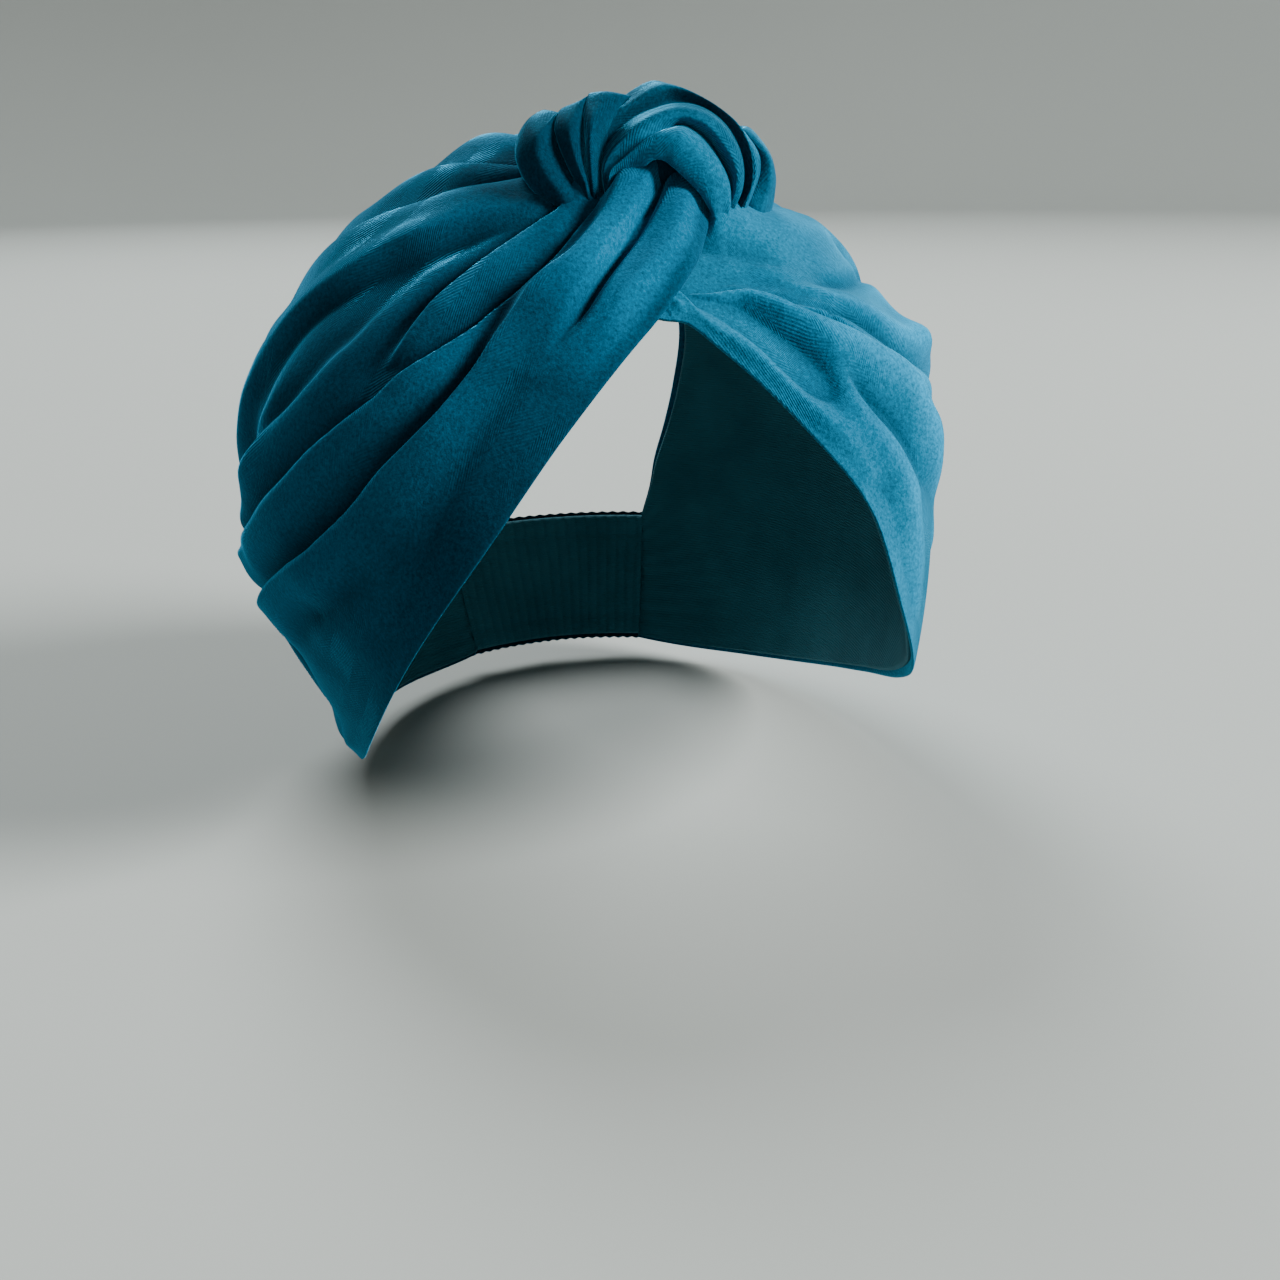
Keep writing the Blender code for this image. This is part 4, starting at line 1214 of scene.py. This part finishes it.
def sewing(name):
    m = bpy.data.materials.new(name)
    nt, p = nodes_of(m)
    N = nt.nodes
    tc = N.new("ShaderNodeTexCoord")
    n = N.new("ShaderNodeTexNoise")
    n.inputs["Scale"].default_value = 3000.0
    link(nt, tc.outputs["Object"], n.inputs["Vector"])
    ramp = N.new("ShaderNodeValToRGB")
    ramp.color_ramp.elements[0].color = (0.004, 0.05, 0.08, 1)
    ramp.color_ramp.elements[1].color = (0.012, 0.10, 0.15, 1)
    link(nt, n.outputs["Fac"], ramp.inputs["Fac"])
    link(nt, ramp.outputs["Color"], p.inputs["Base Color"])
    b = N.new("ShaderNodeBump")
    b.inputs["Strength"].default_value = 0.4
    b.inputs["Distance"].default_value = 0.0001
    link(nt, n.outputs["Fac"], b.inputs["Height"])
    link(nt, b.outputs["Normal"], p.inputs["Normal"])
    p.inputs["Roughness"].default_value = 0.45
    p.inputs["Sheen Weight"].default_value = 0.2
    return m


# one cloth in two copies: the lighter copy on the wearer's left panel, loop and wing is painted light and sheen
# for that side's brighter grazing look; the darker copy goes on the rest
VELVET = velvet("velvet_teal", (0.0006, 0.024, 0.047), (0.0010, 0.036, 0.068), (0.07, 0.58, 0.97))
VELVET_PAINTED_LIT = velvet("velvet_teal_painted_lit", (0.0012, 0.054, 0.102), (0.0028, 0.084, 0.152),
                   (0.10, 0.62, 1.0))
LINING = knit("lining_knit", (0.010, 0.085, 0.115), (0.020, 0.125, 0.165))
ELASTIC = webbing("elastic_woven")
THREAD = sewing("thread_teal")


def dress(ob, mat):
    ob.data.materials.clear()
    ob.data.materials.append(mat)


right = make_panel("right_wrap_velvet", -1)
left = make_panel("left_wrap_velvet", 1)
right_l = make_lining("right_lining_knit", -1)
left_l = make_lining("left_lining_knit", 1)
loop = make_loop()
fan = make_fan()
wing = make_wing()
core = make_core()
casing = make_casing()
casing_l = make_casing_lining()
seam_r = make_stitches("right_nape_stitches", -(NAPE_AZ + 0.9))
seam_l = make_stitches("left_nape_stitches", NAPE_AZ + 0.9)

for ob in (right, left, loop, fan, wing, core, casing):
    # left panel, loop and wing get the lighter copy with painted light and sheen
    dress(ob, VELVET_PAINTED_LIT if ob in (left, loop, wing) else VELVET)
for ob in (right_l, left_l, casing_l):
    dress(ob, LINING)
for ob in (seam_r, seam_l):
    dress(ob, THREAD)

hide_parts("right_wrap")
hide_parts("knot_core")
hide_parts("left_wrap")
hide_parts("right_lining")
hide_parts("left_lining")
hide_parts("knot_front_loop")
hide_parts("knot_right_fan")
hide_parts("knot_left_wing")
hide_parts("nape_casing")
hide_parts("nape_casing_lining")
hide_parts("right_nape_seam")
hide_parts("left_nape_seam")

for ob in (right, left, right_l, left_l):
    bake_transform(ob)
for ob in (loop, fan, wing, core):
    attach(ob, "root")
for ob in (casing, casing_l, seam_r, seam_l):
    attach(ob, "nape")

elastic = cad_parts["nape_elastic"]
elastic = elastic if hasattr(elastic, "data") else bpy.data.objects["nape_elastic"]
for slot_ in elastic.material_slots:
    slot_.material = ELASTIC

# ------------------------------------------------------------------ stage
lo, hi = CAD_BOX
floor_z = lo[2] - 0.004


def make_stage():
    """Round floor that turns up into a wall far away on every side."""
    prof = [(0.02, 0.0), (0.5, 0.0), (1.5, 0.0), (3.2, 0.0)]
    prof += [(3.2 + 1.1 * math.sin(a), 1.1 - 1.1 * math.cos(a))
             for a in np.linspace(0.08, math.pi / 2, 18)] + [(4.3, 3.4)]
    n = 96
    ang = np.linspace(0, 2 * math.pi, n, endpoint=False)
    verts, faces = [], []
    for r, z in prof:
        verts += [(r * 1000 * math.cos(t), r * 1000 * math.sin(t), (floor_z + z) * 1000)
                  for t in ang]
    for i in range(len(prof) - 1):
        for j in range(n):
            k = (j + 1) % n
            faces.append((i * n + j, i * n + k, (i + 1) * n + k, (i + 1) * n + j))
    faces.append(tuple(range(n))[::-1])
    me = bpy.data.meshes.new("stage_floor")
    me.from_pydata([tuple(np.array(v) * MM) for v in verts], [], faces)
    me.shade_smooth()
    ob = bpy.data.objects.new("stage_floor", me)
    bpy.context.scene.collection.objects.link(ob)
    m = bpy.data.materials.new("stage_pale")
    nt, p = nodes_of(m)
    n = nt.nodes.new("ShaderNodeTexNoise")
    n.inputs["Scale"].default_value = 6.0
    r = nt.nodes.new("ShaderNodeValToRGB")
    r.color_ramp.elements[0].color = (0.30, 0.325, 0.312, 1)
    r.color_ramp.elements[1].color = (0.32, 0.345, 0.332, 1)
    link(nt, n.outputs["Fac"], r.inputs["Fac"])
    link(nt, r.outputs["Color"], p.inputs["Base Color"])
    p.inputs["Roughness"].default_value = 0.9
    me.materials.append(m)
    return ob


make_stage()


def area(name, at, to, size, power, colour=(1, 1, 1)):
    lt = bpy.data.lights.new(name, "AREA")
    lt.shape = "DISK"
    lt.size = size
    lt.energy = power
    lt.color = colour
    ob = bpy.data.objects.new(name, lt)
    ob.location = at
    ob.rotation_euler = (Vector(to) - Vector(at)).to_track_quat("-Z", "Y").to_euler()
    bpy.context.scene.collection.objects.link(ob)
    return ob


area("key_window", (2.75, -1.4, 1.5), (0, 0, 0.02), 1.3, 360, (1.0, 0.99, 0.97))
area("fill_front", (-1.8, -2.6, 1.0), (0, 0, 0.0), 2.2, 2, (0.90, 0.96, 1.0))
area("top_soft", (-0.3, 1.9, 2.4), (0, 0, 0.05), 1.6, 130, (0.98, 1.0, 1.0))
world = bpy.data.worlds.new("soft_world")
bpy.context.scene.world = world
world.use_nodes = True
world.node_tree.nodes["Background"].inputs["Color"].default_value = (0.80, 0.84, 0.84, 1)
world.node_tree.nodes["Background"].inputs["Strength"].default_value = 0.07

# ------------------------------------------------------------------ camera
cam = bpy.data.cameras.new("camera")
cam.sensor_width = 36.0
cam.lens = 36.08
cam.clip_start, cam.clip_end = 0.01, 50
co = bpy.data.objects.new("camera", cam)
fwd = Vector((0.23682, 0.90180, -0.36150)).normalized()
rgt = Vector((0.96597, -0.25837, -0.01173)).normalized()
upv = rgt.cross(fwd).normalized()
rot = Matrix((rgt, upv, -fwd)).transposed()
co.matrix_world = Matrix.Translation((-0.07682, -0.33720, 0.10394)) @ rot.to_4x4()
bpy.context.scene.collection.objects.link(co)
bpy.context.scene.camera = co
